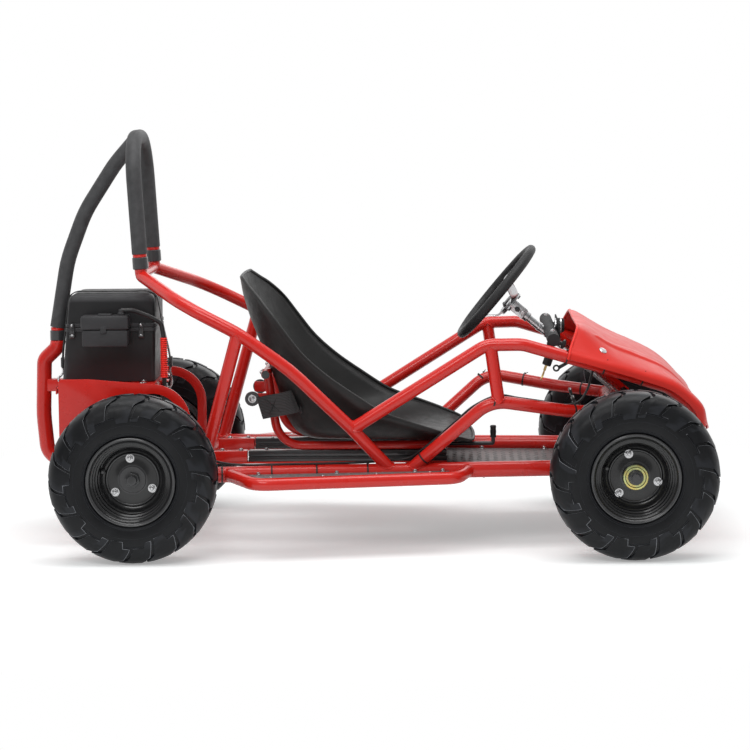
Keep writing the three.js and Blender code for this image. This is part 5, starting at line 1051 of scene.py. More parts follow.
def make_rim(name, body, x, side, driven):
    bm = bmesh.new()
    centre = Vector((x, side * WHEEL_Y, AXLE_Z))
    axle = Vector((0, side, 0))
    bore = 13.4 if driven else 10
    front = RIM_LINE + [(17, 46), (17, 30), (17.8, 28.6), (17.8, bore)]
    back = [(14.2, bore), (14, 46), (12.2, 52), (12, 58), (14.5, 63), (20, 66.5), (24, 73), (10, 73),
            (-40, 73), (-52, 73), (-55, 76), (-57, 82), (-60, 84.4), (-59.4, 86.8), (-56.6, 87.2),
            (-53, 80), (-52, 76), (0, 76), (51, 76), (53.4, 80.2)]
    turned(bm, front + back, centre, axle, 96, closed=True)
    if not driven:
        turned(bm, [(-24, 10), (-24, 24), (-22, 26), (17, 26), (22, 24.6), (33.5, 24), (33.5, 10)],
               centre, axle, 48, closed=True)
    stem = centre + axle * 20 + Vector((-58 * math.cos(0.3), 0, 58 * math.sin(0.3)))
    rod(bm, stem - axle * 10, stem + axle * 12, 4.2, 16, 0.8)
    rod(bm, stem + axle * 11, stem + axle * 19, 3.2, 12, 0.6)
    piece(f"{name}_steel", bm, body, BLACK_COAT, [name], crease=40)

    start = 95.6 if driven else 106
    circle = 42 if driven else 45
    bm = bmesh.new()
    for k in range(3):
        spot = round_y(centre + axle * 17, circle, start + 120 * k)
        bolt(bm, spot, axle, 6.4, 5.5)
        rod(bm, spot, spot + axle * 11.5, 3.4, 14, 0.8)
    piece(f"{name}_nuts", bm, body, ZINC)
    bm = bmesh.new()
    if driven:
        turned(bm, [(17.5, 13), (17.5, 26), (18.4, 26.6), (19.8, 25.6), (20, 13)], centre, axle, 48,
               closed=True)
        hexagon_nut(bm, centre + axle * 20, axle, 15.5, 11)
        turned(bm, [(31, 0), (31, 11), (38, 10.6), (40, 9.4), (40.3, 7.6), (40.3, 0)], centre, axle, 28)
        piece(f"{name}_hub_nut", bm, body, BLACK_COAT)
    else:
        turned(bm, [(33, 15), (33, 23.8), (33.8, 24.8), (37.6, 24.8), (38.6, 23.8), (39, 20.5),
                    (37.8, 19), (37.8, 15)],
               centre, axle, 48, closed=True)
        piece(f"{name}_bearing_ring", bm, body, YELLOW_ZINC)
        bm = bmesh.new()
        turned(bm, [(34, 9.8), (34, 15.6), (38.4, 15.2), (39.2, 13.5), (39.2, 9.8)], centre, axle, 40,
               closed=True)
        piece(f"{name}_bearing_seal", bm, body, BLACK_COAT)


def make_wheels():
    for name, side in SIDES:
        make_tyre(f"tyre_front_{name}", f"front_wheel_{name}", FRONT_X, side)
        make_rim(f"rim_front_{name}", f"front_wheel_{name}", FRONT_X, side, False)
        make_tyre(f"tyre_rear_{name}", "rear_axle", REAR_X, side)
        make_rim(f"rim_rear_{name}", "rear_axle", REAR_X, side, True)


make_wheels()


# Battery box

TRAY_TOP = 324.7
BOX_FLOOR, BOX_SEAM, BOX_TOP, BOX_HALF = 325, 437, 505, 84


def box_ring(z, inset=0.0, corner=9.0):
    """The box's outline at a height, with round corners."""
    part = (z - BOX_FLOOR) / (BOX_TOP - BOX_FLOOR)
    x0, x1 = share(-627, -611, part) + inset, share(-437, -434, part) - inset
    y1 = BOX_HALF - inset
    radius = max(corner - inset * 0.5, 3)
    ring = []
    for cx, cy, start in ((x1 - radius, y1 - radius, 0), (x0 + radius, y1 - radius, 90),
                          (x0 + radius, -y1 + radius, 180), (x1 - radius, -y1 + radius, 270)):
        for k in range(6):
            angle = math.radians(start + 18 * k)
            ring.append((cx + radius * math.cos(angle), cy + radius * math.sin(angle), z))
    return ring


def make_tray():
    bm = bmesh.new()
    half = 175.7
    block(bm, (-628, -half, TRAY_TOP - 3), (-431, half, TRAY_TOP), 0.8)
    block(bm, (-628, -half, TRAY_TOP - 14), (-625, half, TRAY_TOP), 0.8)
    block(bm, (-434, -half, TRAY_TOP - 14), (-431, half, TRAY_TOP), 0.8)
    block(bm, (-670, -13, TRAY_TOP - 26), (-626, 13, TRAY_TOP - 0.4), 2)
    prism(bm, [[(-433, -61, TRAY_TOP - 3), (-412.4, -58, TRAY_TOP - 3), (-412.4, -34, TRAY_TOP - 3),
                (-433, -31, TRAY_TOP - 3)]], (0, 0, 3), 0.6)
    prism(bm, [[(-433, -33, TRAY_TOP - 14), (-433, -33, TRAY_TOP), (-413, -33, TRAY_TOP)]], (0, 2.5, 0),
          0.5)
    piece("battery_shelf", bm, "frame", RED, ["battery_tray"])
    bm = bmesh.new()
    for y in (-150, -100, 100, 150):
        for x in (-600, -458):
            bolt(bm, (x, y, TRAY_TOP), UP, 5)
    for y in (-150, -120, 120, 150):
        bolt(bm, (-431, y, TRAY_TOP - 8), (1, 0, 0), 3.6)
    piece("battery_shelf_bolts", bm, "frame", ZINC)


def make_case():
    bm = bmesh.new()
    lofted(bm, [box_ring(BOX_FLOOR, 4), box_ring(BOX_FLOOR + 1.2, 1.4), box_ring(BOX_FLOOR + 4),
                box_ring(BOX_SEAM - 9), box_ring(BOX_SEAM - 8, -1.6), box_ring(BOX_SEAM - 2, -1.6),
                box_ring(BOX_SEAM - 1.2, -0.8), box_ring(BOX_SEAM - 0.2, -0.6)])
    piece("battery_case_body", bm, "frame", BOX_PLASTIC, ["battery_case"])

    bm = bmesh.new()
    top, foot = 464, 401
    block(bm, (-579, -128, foot), (-486, -84, 434.6), 3)
    block(bm, (-581, -130, 435.6), (-484, -84.8, top), 4.5)
    block(bm, (-574, -124, 433), (-491, -84.8, 437), 0.8)
    block(bm, (-541, -130.6, 428), (-529, -126, 443), 1.4)
    block(bm, (-548, -118, top - 2), (-519, -100, top + 3.4), 2)
    rod(bm, (-500, -110, 460), (-500, -110, 470), 7.5, 20, 1.5)
    rod(bm, (-500, -110, 468), (-500, -110, 476), 6, 20, 1)
    piece("motor_controller", bm, "frame", BOX_PLASTIC)


def make_lid():
    bm = bmesh.new()
    lofted(bm, [box_ring(BOX_SEAM + 0.4, -0.4), box_ring(BOX_SEAM + 1.2, -1.6),
                box_ring(BOX_SEAM + 7, -1.6),
                box_ring(BOX_SEAM + 8.4, 0.4), box_ring(BOX_TOP - 18, 0.6), box_ring(BOX_TOP - 11, 1.4),
                box_ring(BOX_TOP - 5, 4), box_ring(BOX_TOP - 1.6, 8.5), box_ring(BOX_TOP - 0.2, 15)])
    piece("battery_lid_cover", bm, "battery_lid", LID_PLASTIC, ["battery_lid"])


def make_latches():
    for name, x in (("front", -463), ("rear", -604)):
        bm = bmesh.new()
        face, z = -84.3, 419
        block(bm, (x - 5, face - 6.4, z + 1), (x + 5, face - 1.2, 440), 1.6)
        block(bm, (x - 4.2, face - 8, 436), (x + 4.2, face - 0.6, 446), 2)
        rod(bm, (x - 5, face - 4, z), (x + 5, face - 4, z), 4, 20, 0.8)
        block(bm, (x - 2, face - 7.4, z + 6), (x + 2, face - 5.8, 434), 0.5)
        body = f"latch_{name}"
        piece(f"latch_{name}_lever", bm, body, BLACK_COAT, [f"lid_latch_{name}"])
        bm = bmesh.new()
        for height, front in ((z + 2.2, face - 6.2), (442.6, face - 7.8)):
            turned(bm, [(0, 0), (0, 2.6), (0.9, 2.3), (1.5, 1.2), (1.6, 0)], (x, front, height), -ACROSS,
                   20)
        piece(f"latch_{name}_screws", bm, body, ZINC)


def make_strap():
    """The stretch strap over the lid: a rear hook, the band with its folded ends, and a front hook."""
    bm = bmesh.new()
    off, y = 2.4, -46
    line = smooth_line([
        (-630.8, y, 351), (-629.5, y, 380), (-622, y, 440), (-615.6, y, 486), (-612, y, 499),
        (-600, y, BOX_TOP + off), (-560, y, BOX_TOP + off + 0.8), (-490, y, BOX_TOP + off + 0.8),
        (-448, y, BOX_TOP + off), (-434.5, y, 499), (-430.4, y, 486), (-423, y, 440), (-410.4, y, 380),
        (-407, y, 351),
    ], 5)

    def place(u, v, lift):
        here, heading = along_line(line, v)
        out = heading.cross(ACROSS)
        return here + ACROSS * (u - 0.5) * 18 - out * (lift - 0.5) * 2.2

    slab(bm, 4, 110, place, 0.4)
    for index in (0, -1):
        end = line[index]
        block(bm, end + Vector((-2.6, -9.4, 2)), end + Vector((2.6, 9.4, 22)), 1.2)
    strap = piece("lid_strap", bm, None, WEBBING, ["hold_down_strap"])
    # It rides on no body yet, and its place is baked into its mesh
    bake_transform(strap)

    bm = bmesh.new()
    tube(bm, smooth_line([
        (-630.8, y, 366), (-630.8, y, 352), (-631.5, y + 4, 340), (-636, y + 2, 334), (-640, y - 3, 330),
        (-637, y - 5, 321), (-631, y - 2, 314), (-626.6, y, 312.4),
    ], 5), 2.2, 14)
    tube(bm, smooth_line([
        (-409.2, y, 366), (-409.2, y, 352), (-408.6, y - 3, 338), (-405.6, y - 4, 326), (-407, y - 1, 316),
        (-411.4, y, 309), (-416, y, 310), (-417, y, 317),
    ], 5), 2.2, 14)
    piece("strap_hooks", bm, "frame", ZINC)


def make_conduit():
    bm = bmesh.new()
    ribs, foot, top = 20, 334, 416
    pitch = (top - foot) / ribs
    outline = [(0, 5.2)]
    for k in range(ribs):
        for part, radius in ((0.02, 6.3), (0.16, 6.4), (0.28, 7.4), (0.44, 7.6), (0.6, 7.4), (0.74, 6.4),
                             (0.9, 6.3)):
            outline.append(((k + part) * pitch, radius))
    outline += [(ribs * pitch - 0.1, 6.3), (ribs * pitch - 0.1, 5.2)]
    turned(bm, outline, (-417, -90, foot), UP, 28, closed=True)
    piece("cable_sleeve", bm, "frame", RED_SLEEVE, ["cable_conduit"], crease=50)


# Drive

MOTOR_X, MOTOR_Z, CHAIN_Y = -563, 248, 112


def ring_of(cx, cz, radius, count, y, turn=0.0):
    return [(cx + radius * math.cos(turn + 2 * math.pi * k / count), y,
             cz + radius * math.sin(turn + 2 * math.pi * k / count)) for k in range(count)]


def toothed(bm, x, z, teeth, radius, depth, y, thickness, holes):
    """A sprocket's sheet with round-bottomed teeth and its holes."""
    outline = []
    for k in range(teeth):
        for part, r in ((0, radius - depth), (0.16, radius - depth * 0.9), (0.38, radius - 0.6),
                        (0.5, radius), (0.62, radius - 0.6), (0.84, radius - depth * 0.9)):
            angle = 2 * math.pi * (k + part) / teeth
            outline.append((x + r * math.cos(angle), y - thickness / 2, z + r * math.sin(angle)))
    prism(bm, [outline, *holes], (0, thickness, 0), 0.4)


def make_sprockets():
    y = CHAIN_Y
    bm = bmesh.new()
    holes = [ring_of(REAR_X, AXLE_Z, 13.4, 28, y - 2.5)]
    for k in range(6):
        angle = math.radians(60 * k + 30)
        holes.append(ring_of(REAR_X + 38 * math.cos(angle), AXLE_Z + 38 * math.sin(angle), 9, 20, y - 2.5))
    toothed(bm, REAR_X, AXLE_Z, 21, 66, 4, y, 5, holes)
    turned(bm, [(-10, 13.4), (-10, 18.8), (-9, 20), (9, 20), (10, 18.8), (10, 13.4)], (REAR_X, y, AXLE_Z),
           ACROSS, 48, closed=True)
    bolt(bm, (REAR_X, y + 7, AXLE_Z + 20), UP, 3)
    piece("axle_sprocket_plate", bm, "rear_axle", STEEL, ["axle_sprocket"])
    bm = bmesh.new()
    toothed(bm, MOTOR_X, MOTOR_Z, 7, 22, 4, y, 5, [ring_of(MOTOR_X, MOTOR_Z, 6.8, 20, y - 2.5)])
    rod(bm, (MOTOR_X, 88.3, MOTOR_Z), (MOTOR_X, 122, MOTOR_Z), 7, 24, 1)
    hexagon_nut(bm, (MOTOR_X, 115, MOTOR_Z), ACROSS, 10, 5)
    piece("motor_sprocket_plate", bm, "motor_shaft", STEEL, ["motor_sprocket"])


def make_chain():
    """Rollers and side plates laid link by link round the two sprockets."""
    big, small = Vector((REAR_X, CHAIN_Y, AXLE_Z)), Vector((MOTOR_X, CHAIN_Y, MOTOR_Z))
    run = math.atan2(small.z - big.z, small.x - big.x)
    lean = math.acos(44 / (small - big).length)
    path = []
    for centre, radius, start, end, count in (
            (big, 71.4, run + lean, run + 2 * math.pi - lean, 60),
            (small, 27.4, run - lean, run + lean, 24)):
        for k in range(count + 1):
            angle = share(start, end, k / count)
            path.append(centre + Vector((radius * math.cos(angle), 0, radius * math.sin(angle))))
    path.append(path[0])
    lengths = [(b - a).length for a, b in zip(path, path[1:])]
    links = 2 * round(sum(lengths) / 16.4)
    pitch = sum(lengths) / links
    pins, walked, index = [], 0.0, 0
    for k in range(links):
        goal = k * pitch
        while walked + lengths[index] < goal:
            walked += lengths[index]
            index += 1
        pins.append(path[index].lerp(path[index + 1], (goal - walked) / lengths[index]))
    bm = bmesh.new()
    for k, pin in enumerate(pins):
        ahead = pins[(k + 1) % links]
        heading = (ahead - pin).normalized()
        side = heading.cross(ACROSS)
        rod(bm, pin - ACROSS * 2.6, pin + ACROSS * 2.6, 2.7, 8)
        offset = 2.3 if k % 2 else 3.5
        outline = []
        for centre, turn in ((pin, 0), (ahead, math.pi)):
            for corner in range(4):
                angle = turn + math.radians(30 + 40 * corner)
                outline.append(centre - heading * 3.3 * math.sin(angle) + side * 3.3 * math.cos(angle))
        for hand in (-1, 1):
            prism(bm, [[p + ACROSS * hand * offset for p in outline]], ACROSS * hand * 0.9, 0)
    piece("roller_chain", bm, "frame", STEEL, ["drive_chain"])


def make_motor():
    bm = bmesh.new()
    place = Vector((MOTOR_X, 0, MOTOR_Z))
    outline = [(-78, 0), (-78, 34), (-76, 38), (-74, 46), (-71, 49), (-58, 50), (-57, 48.4)]
    outline += [(56, 48.4), (57, 50), (80, 50), (84, 48), (87, 40), (88, 30), (88, 0)]
    turned(bm, outline, place, ACROSS, 64)
    for k in range(28):
        angle = math.radians(k * 360 / 28)
        if 40 < (math.degrees(angle) % 360) < 140:
            continue
        turn = Matrix.Rotation(-angle, 3, "Y")
        block(bm, place + Vector((47, -54, -0.8)), place + Vector((50, 53, 0.8)), 0, turn, place)
    block(bm, (-593, -35, 273), (-533, 35, 321.4), 2)
    block(bm, (-524, -62, 238), (-508, -38, 262), 2)
    piece("motor_body", bm, "frame", MOTOR_COAT, ["drive_motor"])
    bm = bmesh.new()
    for angle in (20, 110, 200, 290):
        spot = round_y(place, 40, angle)
        bolt(bm, spot - ACROSS * 77, -ACROSS, 3.4)
        bolt(bm, spot + ACROSS * 86, ACROSS, 3.4)
    piece("motor_bolts", bm, "frame", ZINC)


def make_axle():
    bm = bmesh.new()
    place = Vector((REAR_X, 0, AXLE_Z))
    end = [(312, 12.5), (312, 24.6), (313.4, 26), (361, 26), (363, 27.5), (363, 48.6), (364.4, 50),
           (367.4, 50),
           (368.7, 48.6), (368.7, 12.5), (372.3, 12.5), (372.3, 9), (393, 9), (394.3, 7.6)]
    disc_hub = [(-70, 12.5), (-70, 21), (-69, 22), (-64, 22), (-64, 34), (-64.01, 77.4), (-63.6, 78),
                (-60.4, 78), (-60, 77.4), (-60, 34), (-60, 22), (-55, 22), (-54, 21), (-54, 12.5)]
    outline = [(-394.3, 0)] + [(-y, r) for y, r in reversed(end)] + disc_hub + end + [(394.3, 0)]
    turned(bm, outline, place, ACROSS, 72)
    for side in (-1, 1):
        for k in range(3):
            spot = round_y(place, 42, 95.6 + 120 * k) + ACROSS * side * 358
            hexagon_nut(bm, spot, ACROSS * side, 6.5, 5)
        block(bm, place + Vector((-3, side * 322 - 12, 11)), place + Vector((3, side * 322 + 12, 27.4)),
              0.8)
    block(bm, place + Vector((-3, -78, 10)), place + Vector((3, -46, 14)), 0.8)
    block(bm, place + Vector((-3, 92, 10)), place + Vector((3, 132, 14)), 0.8)
    piece("axle_shaft", bm, "rear_axle", STEEL, ["rear_axle"])
    bm = bmesh.new()
    # Black plugs stand in the disc's holes: painted shade, where the holes would look dark
    for k in range(30):
        spot = round_y(place, (48, 56, 64)[k % 3], 12 * k)
        rod(bm, spot + ACROSS * -64.35, spot + ACROSS * -59.65, 3, 14, 0.3)
    for k in range(4):
        bolt(bm, round_y(place, 28, 90 * k + 45) - ACROSS * 64, -ACROSS, 3.6)
    piece("brake_disc_shaded_holes", bm, "rear_axle", BLACK_COAT)


def make_caliper():
    turn = Matrix.Rotation(math.radians(-40), 3, "Y")
    about = Vector((REAR_X, 0, AXLE_Z))

    def local(x, y, z):
        return about + Vector((x, y, z))

    bm = bmesh.new()
    for low, high in ((-85, -65.4), (-58.6, -39)):
        block(bm, local(62, low, -20), local(104, high, 20), 4, turn, about)
    block(bm, local(83, -72, -17), local(106, -52, 17), 4, turn, about)
    stem = [(REAR_X + 76, AXLE_Z + 32), (REAR_CROSS_X, 151), (REAR_CROSS_X, 175),
            (REAR_X + 83, AXLE_Z + 76)]
    prism(bm, [[(x, -77, z) for x, z in stem]], (0, 6, 0), 1)
    piece("caliper_body", bm, "frame", CAST, ["brake_caliper"])
    bm = bmesh.new()
    for z in (-13, 13):
        start = about + turn @ Vector((74, -85, z))
        bolt(bm, start, (0, -1, 0), 4.6)
        bolt(bm, start + Vector((0, 46, 0)), (0, 1, 0), 4.6)
    piece("caliper_bolts", bm, "frame", ZINC)
    bm = bmesh.new()
    spot = about + turn @ Vector((100, -83, 16))
    rod(bm, spot + Vector((0, -2, 0)), spot + Vector((0, 6, 0)), 6, 24, 1)
    hexagon_nut(bm, spot + Vector((0, -6.4, 0)), (0, 1, 0), 5, 4.4)
    rod(bm, (-387, -85.5, 241.5), spot, 3.2, 16, 0.6)
    piece("hose_union", bm, "frame", BRASS)


# Front axle and steering

ARM_TOP = 208.3
COLUMN_AT = Vector((463, 0, 329))
COLUMN_LEAN = math.radians(40)
DOWN = Vector((math.cos(COLUMN_LEAN), 0, -math.sin(COLUMN_LEAN)))
UNDER = Vector((-math.sin(COLUMN_LEAN), 0, -math.cos(COLUMN_LEAN)))
ARM_LENGTH, ARM_INSET = 64, 12
ARM_END_X = FRONT_X - math.sqrt(ARM_LENGTH ** 2 - ARM_INSET ** 2)


def on_column(reach, under=0.0, across=0.0):
    """A place counted along the steering column, then to its underside and across it."""
    return COLUMN_AT + DOWN * reach + UNDER * under + ACROSS * across


def column_block(bm, reach, under, across, ease=1.0):
    """A box laid along the column between two values of each of its three directions."""
    corners = [on_column(r, u, across[0]) for r, u in ((reach[0], under[0]), (reach[1], under[0]),
                                                       (reach[1], under[1]), (reach[0], under[1]))]
    prism(bm, [corners], ACROSS * (across[1] - across[0]), ease)


def make_front_axle():
    bm = bmesh.new()
    block(bm, (508, -262, 150), (538, 262, 180), 2.5)
    tube(bm, [Vector((495, -190, 266)), Vector((495, 190, 266))], UPPER, 24)
    for _, side in SIDES:
        tube(bm, [Vector((FRONT_X, side * 168, AXLE_Z)), Vector((495, side * 168, 266))], 10)
        weld(bm, (495, side * 168, 266), (28, 0, -101), 10, (0, 1, 0), UPPER)
        weld(bm, (495, side * 190, 266), (0, -side, 0), UPPER, (1, 0, -0.1), UPPER)
        for low, high in ((187.3, 193.3), (136.7, 142.7)):
            outline = [(508, side * 225)]
            for k in range(13):
                angle = math.radians(180 - 15 * k)
                outline.append((FRONT_X + 15 * math.cos(angle), side * (275 + 15 * math.sin(angle))))
            outline.append((538, side * 225))
            prism(bm, [[(x, y, low) for x, y in outline]], (0, 0, high - low), 0.8)
        web = sorted((side * 225, side * 261.8))
        block(bm, (508, web[0], 136.7), (538, web[1], 193.3), 2)
    piece("front_axle_beam", bm, "frame", RED, ["front_axle_frame"])


def make_spindles():
    for name, side in SIDES:
        bm = bmesh.new()
        pivot = Vector((FRONT_X, side * 275, AXLE_Z))
        turned(bm, [(-22, 0), (-22, 11.5), (-21, 12.5), (21, 12.5), (22, 11.5), (22, 0)], pivot, UP, 32)
        rod(bm, pivot - UP * 28.6, pivot + UP * 34, 8, 24, 1)
        hexagon_nut(bm, pivot - UP * 32.6, UP, 12.4, 4)
        rod(bm, pivot + UP * 29, pivot + UP * 36.3, 12.5, 32, 1.2)
        arm = [(FRONT_X + 12, side * 275 - 7), (FRONT_X + 12, side * 275 + 7),
               (ARM_END_X - 3, side * 263 + 8), (ARM_END_X - 8, side * 263 + 4),
               (ARM_END_X - 8, side * 263 - 4), (ARM_END_X - 3, side * 263 - 8)]
        prism(bm, [[(x, y, ARM_TOP - 7) for x, y in arm]], (0, 0, 7), 1)
        axle = Vector((0, side, 0))
        turned(bm, [(0, 0), (0, 13), (50, 13), (54.5, 11), (54.5, 9), (130, 9), (135, 8.2), (135.2, 0)],
               pivot, axle, 32)
        hexagon_nut(bm, pivot + axle * 120.4, axle, 14.6, 8.6)
        piece(f"spindle_{name}_forging", bm, f"spindle_{name}", BLACK_COAT, [f"spindle_{name}"])


def make_tie_rods():
    for name, side in SIDES:
        bm = bmesh.new()
        eye = Vector((ARM_END_X, side * 263, ARM_TOP + 0.3))
        inner = on_column(92 + 3.7, 36, side * 11)
        inner_far = inner + DOWN * 8
        start, end = eye + UP * 4, inner.lerp(inner_far, 0.5)
        heading = (end - start).normalized()
        for foot, way in ((eye, UP), (inner, DOWN)):
            turned(bm, [(0, 4), (0, 7.6), (1.4, 9), (6.6, 9), (8, 7.6), (8, 4)], foot, way, 32, closed=True)
        rod(bm, start + heading * 8, end - heading * 8, 3.8, 20)
        for place, way in ((start, heading), (end, -heading)):
            rod(bm, place + way * 7, place + way * 24, 5.4, 6, 0.6)
            hexagon_nut(bm, place + way * 24.5, way, 6.4, 4)
        rod(bm, eye - UP * 10, eye + UP * 10.5, 4, 20, 0.6)
        hexagon_nut(bm, eye + UP * 8.2, UP, 7, 4)
        hexagon_nut(bm, eye - UP * 11.4, UP, 7, 3.8)
        piece(f"tie_rod_{name}_link", bm, f"tie_rod_{name}", ZINC, [f"tie_rod_{name}"])


def make_column():
    bm = bmesh.new()
    rod(bm, on_column(-196), on_column(96), 8, 32, 1)
    column_block(bm, (90, 94), (-8, 45), (-9, 9), 0.8)
    column_block(bm, (90, 94), (27, 45), (-20, 20), 0.8)
    for hand in (-1, 1):
        low, high = sorted((hand * 15, hand * 12))
        column_block(bm, (-223.7, -186), (-11, 11), (low, high), 0.8)
        rod(bm, on_column(-193, 0, hand * 16), on_column(-193, 0, hand * 12), 4.4, 20, 0.5)
    column_block(bm, (-223.7, -220.4), (-11, 11), (-15, 15), 0.8)
    column_block(bm, (-202, -188), (-9.5, 9.5), (-12, 12), 1.4)
    rod(bm, on_column(-223.7), on_column(-220.2), 28, 48, 0.6)
    rod(bm, on_column(-190), on_column(-176), 10.6, 32, 1.2)
    for reach in (-150, -128):
        rod(bm, on_column(reach), on_column(reach + 5), 9.4, 32, 0.6)
    piece("steering_column", bm, "steering", ZINC, ["steering_shaft"])
    bm = bmesh.new()
    for k in range(3):
        angle = math.radians(60 + 120 * k)
        spot = on_column(-220.2, 20 * math.cos(angle), 20 * math.sin(angle))
        hexagon_nut(bm, spot, DOWN, 4.6, 3.6)
    for hand in (-1, 1):
        hexagon_nut(bm, on_column(-206, 0, hand * 15), ACROSS * hand, 6, 4.4)
        hexagon_nut(bm, on_column(92, 36, hand * 11) - DOWN * 5.6, DOWN, 6.4, 3.4)
    piece("column_bolts", bm, "steering", BLACK_COAT)


def make_wheel():
    centre = on_column(-262)
    ring = 112
    bm = bmesh.new()

    def place(u, v):
        """Round the ring by u and round the grip by v, thicker and with finger waves at the sides."""
        angle, turn = 2 * math.pi * u, 2 * math.pi * v
        side = max(0.0, abs(math.sin(angle)) - 0.35)
        grip = 9.3 + 0.9 * min(side * 3, 1)
        wave = 0.5 * math.cos(angle * 22) * max(0.0, math.cos(turn - math.pi)) * min(side * 3, 1)
        out = UNDER * math.cos(angle) + ACROSS * math.sin(angle)
        reach = grip + wave
        return centre + out * (ring + reach * math.cos(turn)) + DOWN * reach * math.sin(turn)

    draped(bm, 132, 18, place)
    piece("wheel_ring", bm, "steering", GRIP, ["steering_wheel"], crease=60)

    bm = bmesh.new()
    for k in range(3):
        angle = math.radians(120 * k)
        out = UNDER * math.cos(angle) + ACROSS * math.sin(angle)
        along = UNDER * -math.sin(angle) + ACROSS * math.cos(angle)

        def spoke(u, v, lift, out=out, along=along):
            reach = share(16, ring - 5, u)
            low = share(36.2, 1.6, step(reach - 30, 40))
            half = share(13, 9.5, u) - 2.4 * math.sin(math.pi * u)
            trough = 1.1 * (2 * v - 1) ** 2
            depth = low - trough + (1 - lift) * 2.6 - 1
            return centre + out * reach + along * (2 * v - 1) * half + DOWN * depth

        slab(bm, 26, 6, spoke, 0.5)
    turned(bm, [(30.6, 0), (30.6, 8), (31.6, 24), (33, 27), (36.6, 28), (38, 27), (38, 0)], centre, DOWN,
           48)
    piece("wheel_spokes", bm, "steering", ZINC)
    bm = bmesh.new()
    turned(bm, [(27, 0), (27, 10), (28.2, 13), (31.4, 14.6), (31.4, 0)], centre, DOWN, 40)
    for k in range(3):
        angle = math.radians(60 + 120 * k)
        spot = centre + DOWN * 30.8 + (UNDER * math.cos(angle) + ACROSS * math.sin(angle)) * 20
        bolt(bm, spot, -DOWN, 3.6)
    piece("wheel_centre_cap", bm, "steering", BLACK_COAT)


# Hood, dash and pedals

HOOD_REAR, HOOD_FRONT, HOOD_HALF, HOOD_LOW, HOOD_HIGH, HOOD_WALL = 404, 695, 274, 213, 454, 3
# Half sections from the middle outward as shares of the hood's length, half width and height,
# and the place along the front tube where the section's lip wraps it
HOOD_SHARES = [
    ([(0.05, 0, 0.955), (0.05, 0.45, 0.96), (0.045, 0.785, 0.935)], 0.51),
    ([(0.1, 0, 0.95), (0.1, 0.45, 0.95), (0.105, 0.76, 0.915)], 0.74),
    ([(0.29, 0, 0.83), (0.29, 0.4, 0.825), (0.29, 0.69, 0.775)], 1.08),
    ([(0.48, 0, 0.725), (0.48, 0.38, 0.715), (0.48, 0.645, 0.675)], 1.55),
    ([(0.66, 0, 0.6), (0.66, 0.34, 0.595), (0.66, 0.6, 0.57)], 2.05),
    ([(0.8, 0, 0.44), (0.8, 0.3, 0.44), (0.79, 0.55, 0.435)], 2.6),
    ([(0.905, 0, 0.27), (0.9, 0.26, 0.275), (0.895, 0.5, 0.29)], 3.05),
    ([(1, 0, 0), (0.985, 0.24, 0.02), (0.975, 0.45, 0.06)], 3.5),
]


def front_tube_at(along):
    """A place on the left front tube over the legs, with its sideways and upward directions."""
    stretch = front_tube_route(1)[2:]
    low = int(along)
    heading = (stretch[low + 1] - stretch[low]).normalized()
    out = (ACROSS - heading * heading.y).normalized()
    return stretch[low].lerp(stretch[low + 1], along - low), out, heading.cross(out)


def hood_rows():
    reach = (UPPER + 0.8 + HOOD_WALL) / math.cos(math.radians(20))
    rows = []
    for skin, along in HOOD_SHARES:
        place, out, up = front_tube_at(along)
        left = [Vector((share(HOOD_REAR, HOOD_FRONT, x), HOOD_HALF * y, share(HOOD_LOW, HOOD_HIGH, z)))
                for x, y, z in skin]
        for turn in (2, 1, 0):
            angle = math.radians((turn - 1 / 8) * 40)
            left.append(place + out * reach * math.cos(angle) + up * reach * math.sin(angle))
        right = [Vector((p.x, -p.y, p.z)) for p in reversed(left[1:])]
        rows.append(smooth_line(right + left, 16))
    columns = [smooth_line(column, 16) for column in zip(*rows)]
    return [list(row) for row in zip(*columns)]


def bump(value, width):
    return math.exp(-((value / width) ** 2))


def step(value, width):
    """Rises smoothly from nought to one as the value goes from nought to the width."""
    part = held(value / width)
    return part * part * (3 - 2 * part)


def make_hood():
    rows = hood_rows()
    last_row, last_column = len(rows) - 1, len(rows[0]) - 1

    def place(u, v):
        row, column = round(v * last_row), round(u * last_column)
        p = rows[row][column].copy()
        low_edge = share(203, 150, (p.x - 452) / 190)
        high_edge = low_edge - share(15, 80, (p.x - 452) / 150)
        across = step(low_edge - abs(p.y), 7) * step(abs(p.y) - high_edge, share(10, 40, (p.x - 452) / 150))
        amount = 4.2 * across * step(p.x - 450, 12) * step(668 - p.x, 60)
        p.z += 0.8 * amount
        p.y += math.copysign(0.5 * amount, p.y) if abs(p.y) > 1 else 0
        return p

    bm = bmesh.new()
    draped(bm, last_column, last_row, place)
    hood = piece("hood_skin", bm, "frame", RED_HOOD, ["hood"], crease=180)
    thicken(hood, HOOD_WALL)
    edge = hood.modifiers.new("edge", "BEVEL")
    edge.width = 1.0 * MM
    edge.segments = 2
    edge.limit_method = "ANGLE"
    edge.angle_limit = math.radians(50)

    bm = bmesh.new()
    rim = [Vector(p) for p in rows[0]]
    tube(bm, [p + Vector((1.2, 0, -2.2)) for p in rim], 3.0, 12)
    piece("hood_rear_rim", bm, "frame", RED_HOOD)
    bm = bmesh.new()
    for _, side in SIDES:
        r, c = min(((r, c) for r in range(1, last_row) for c in range(1, last_column)),
                   key=lambda rc: (rows[rc[0]][rc[1]] - Vector((460, side * 228, 383))).length)
        out = (rows[r + 1][c] - rows[r - 1][c]).cross(rows[r][c + 1] - rows[r][c - 1]).normalized()
        out = out if out.z > 0 else -out
        turned(bm, [(-0.5, 0), (-0.5, 8.2), (1.2, 8), (2.4, 5.4), (2.8, 0)], rows[r][c], out, 32)
    piece("hood_bolts", bm, "frame", ZINC)


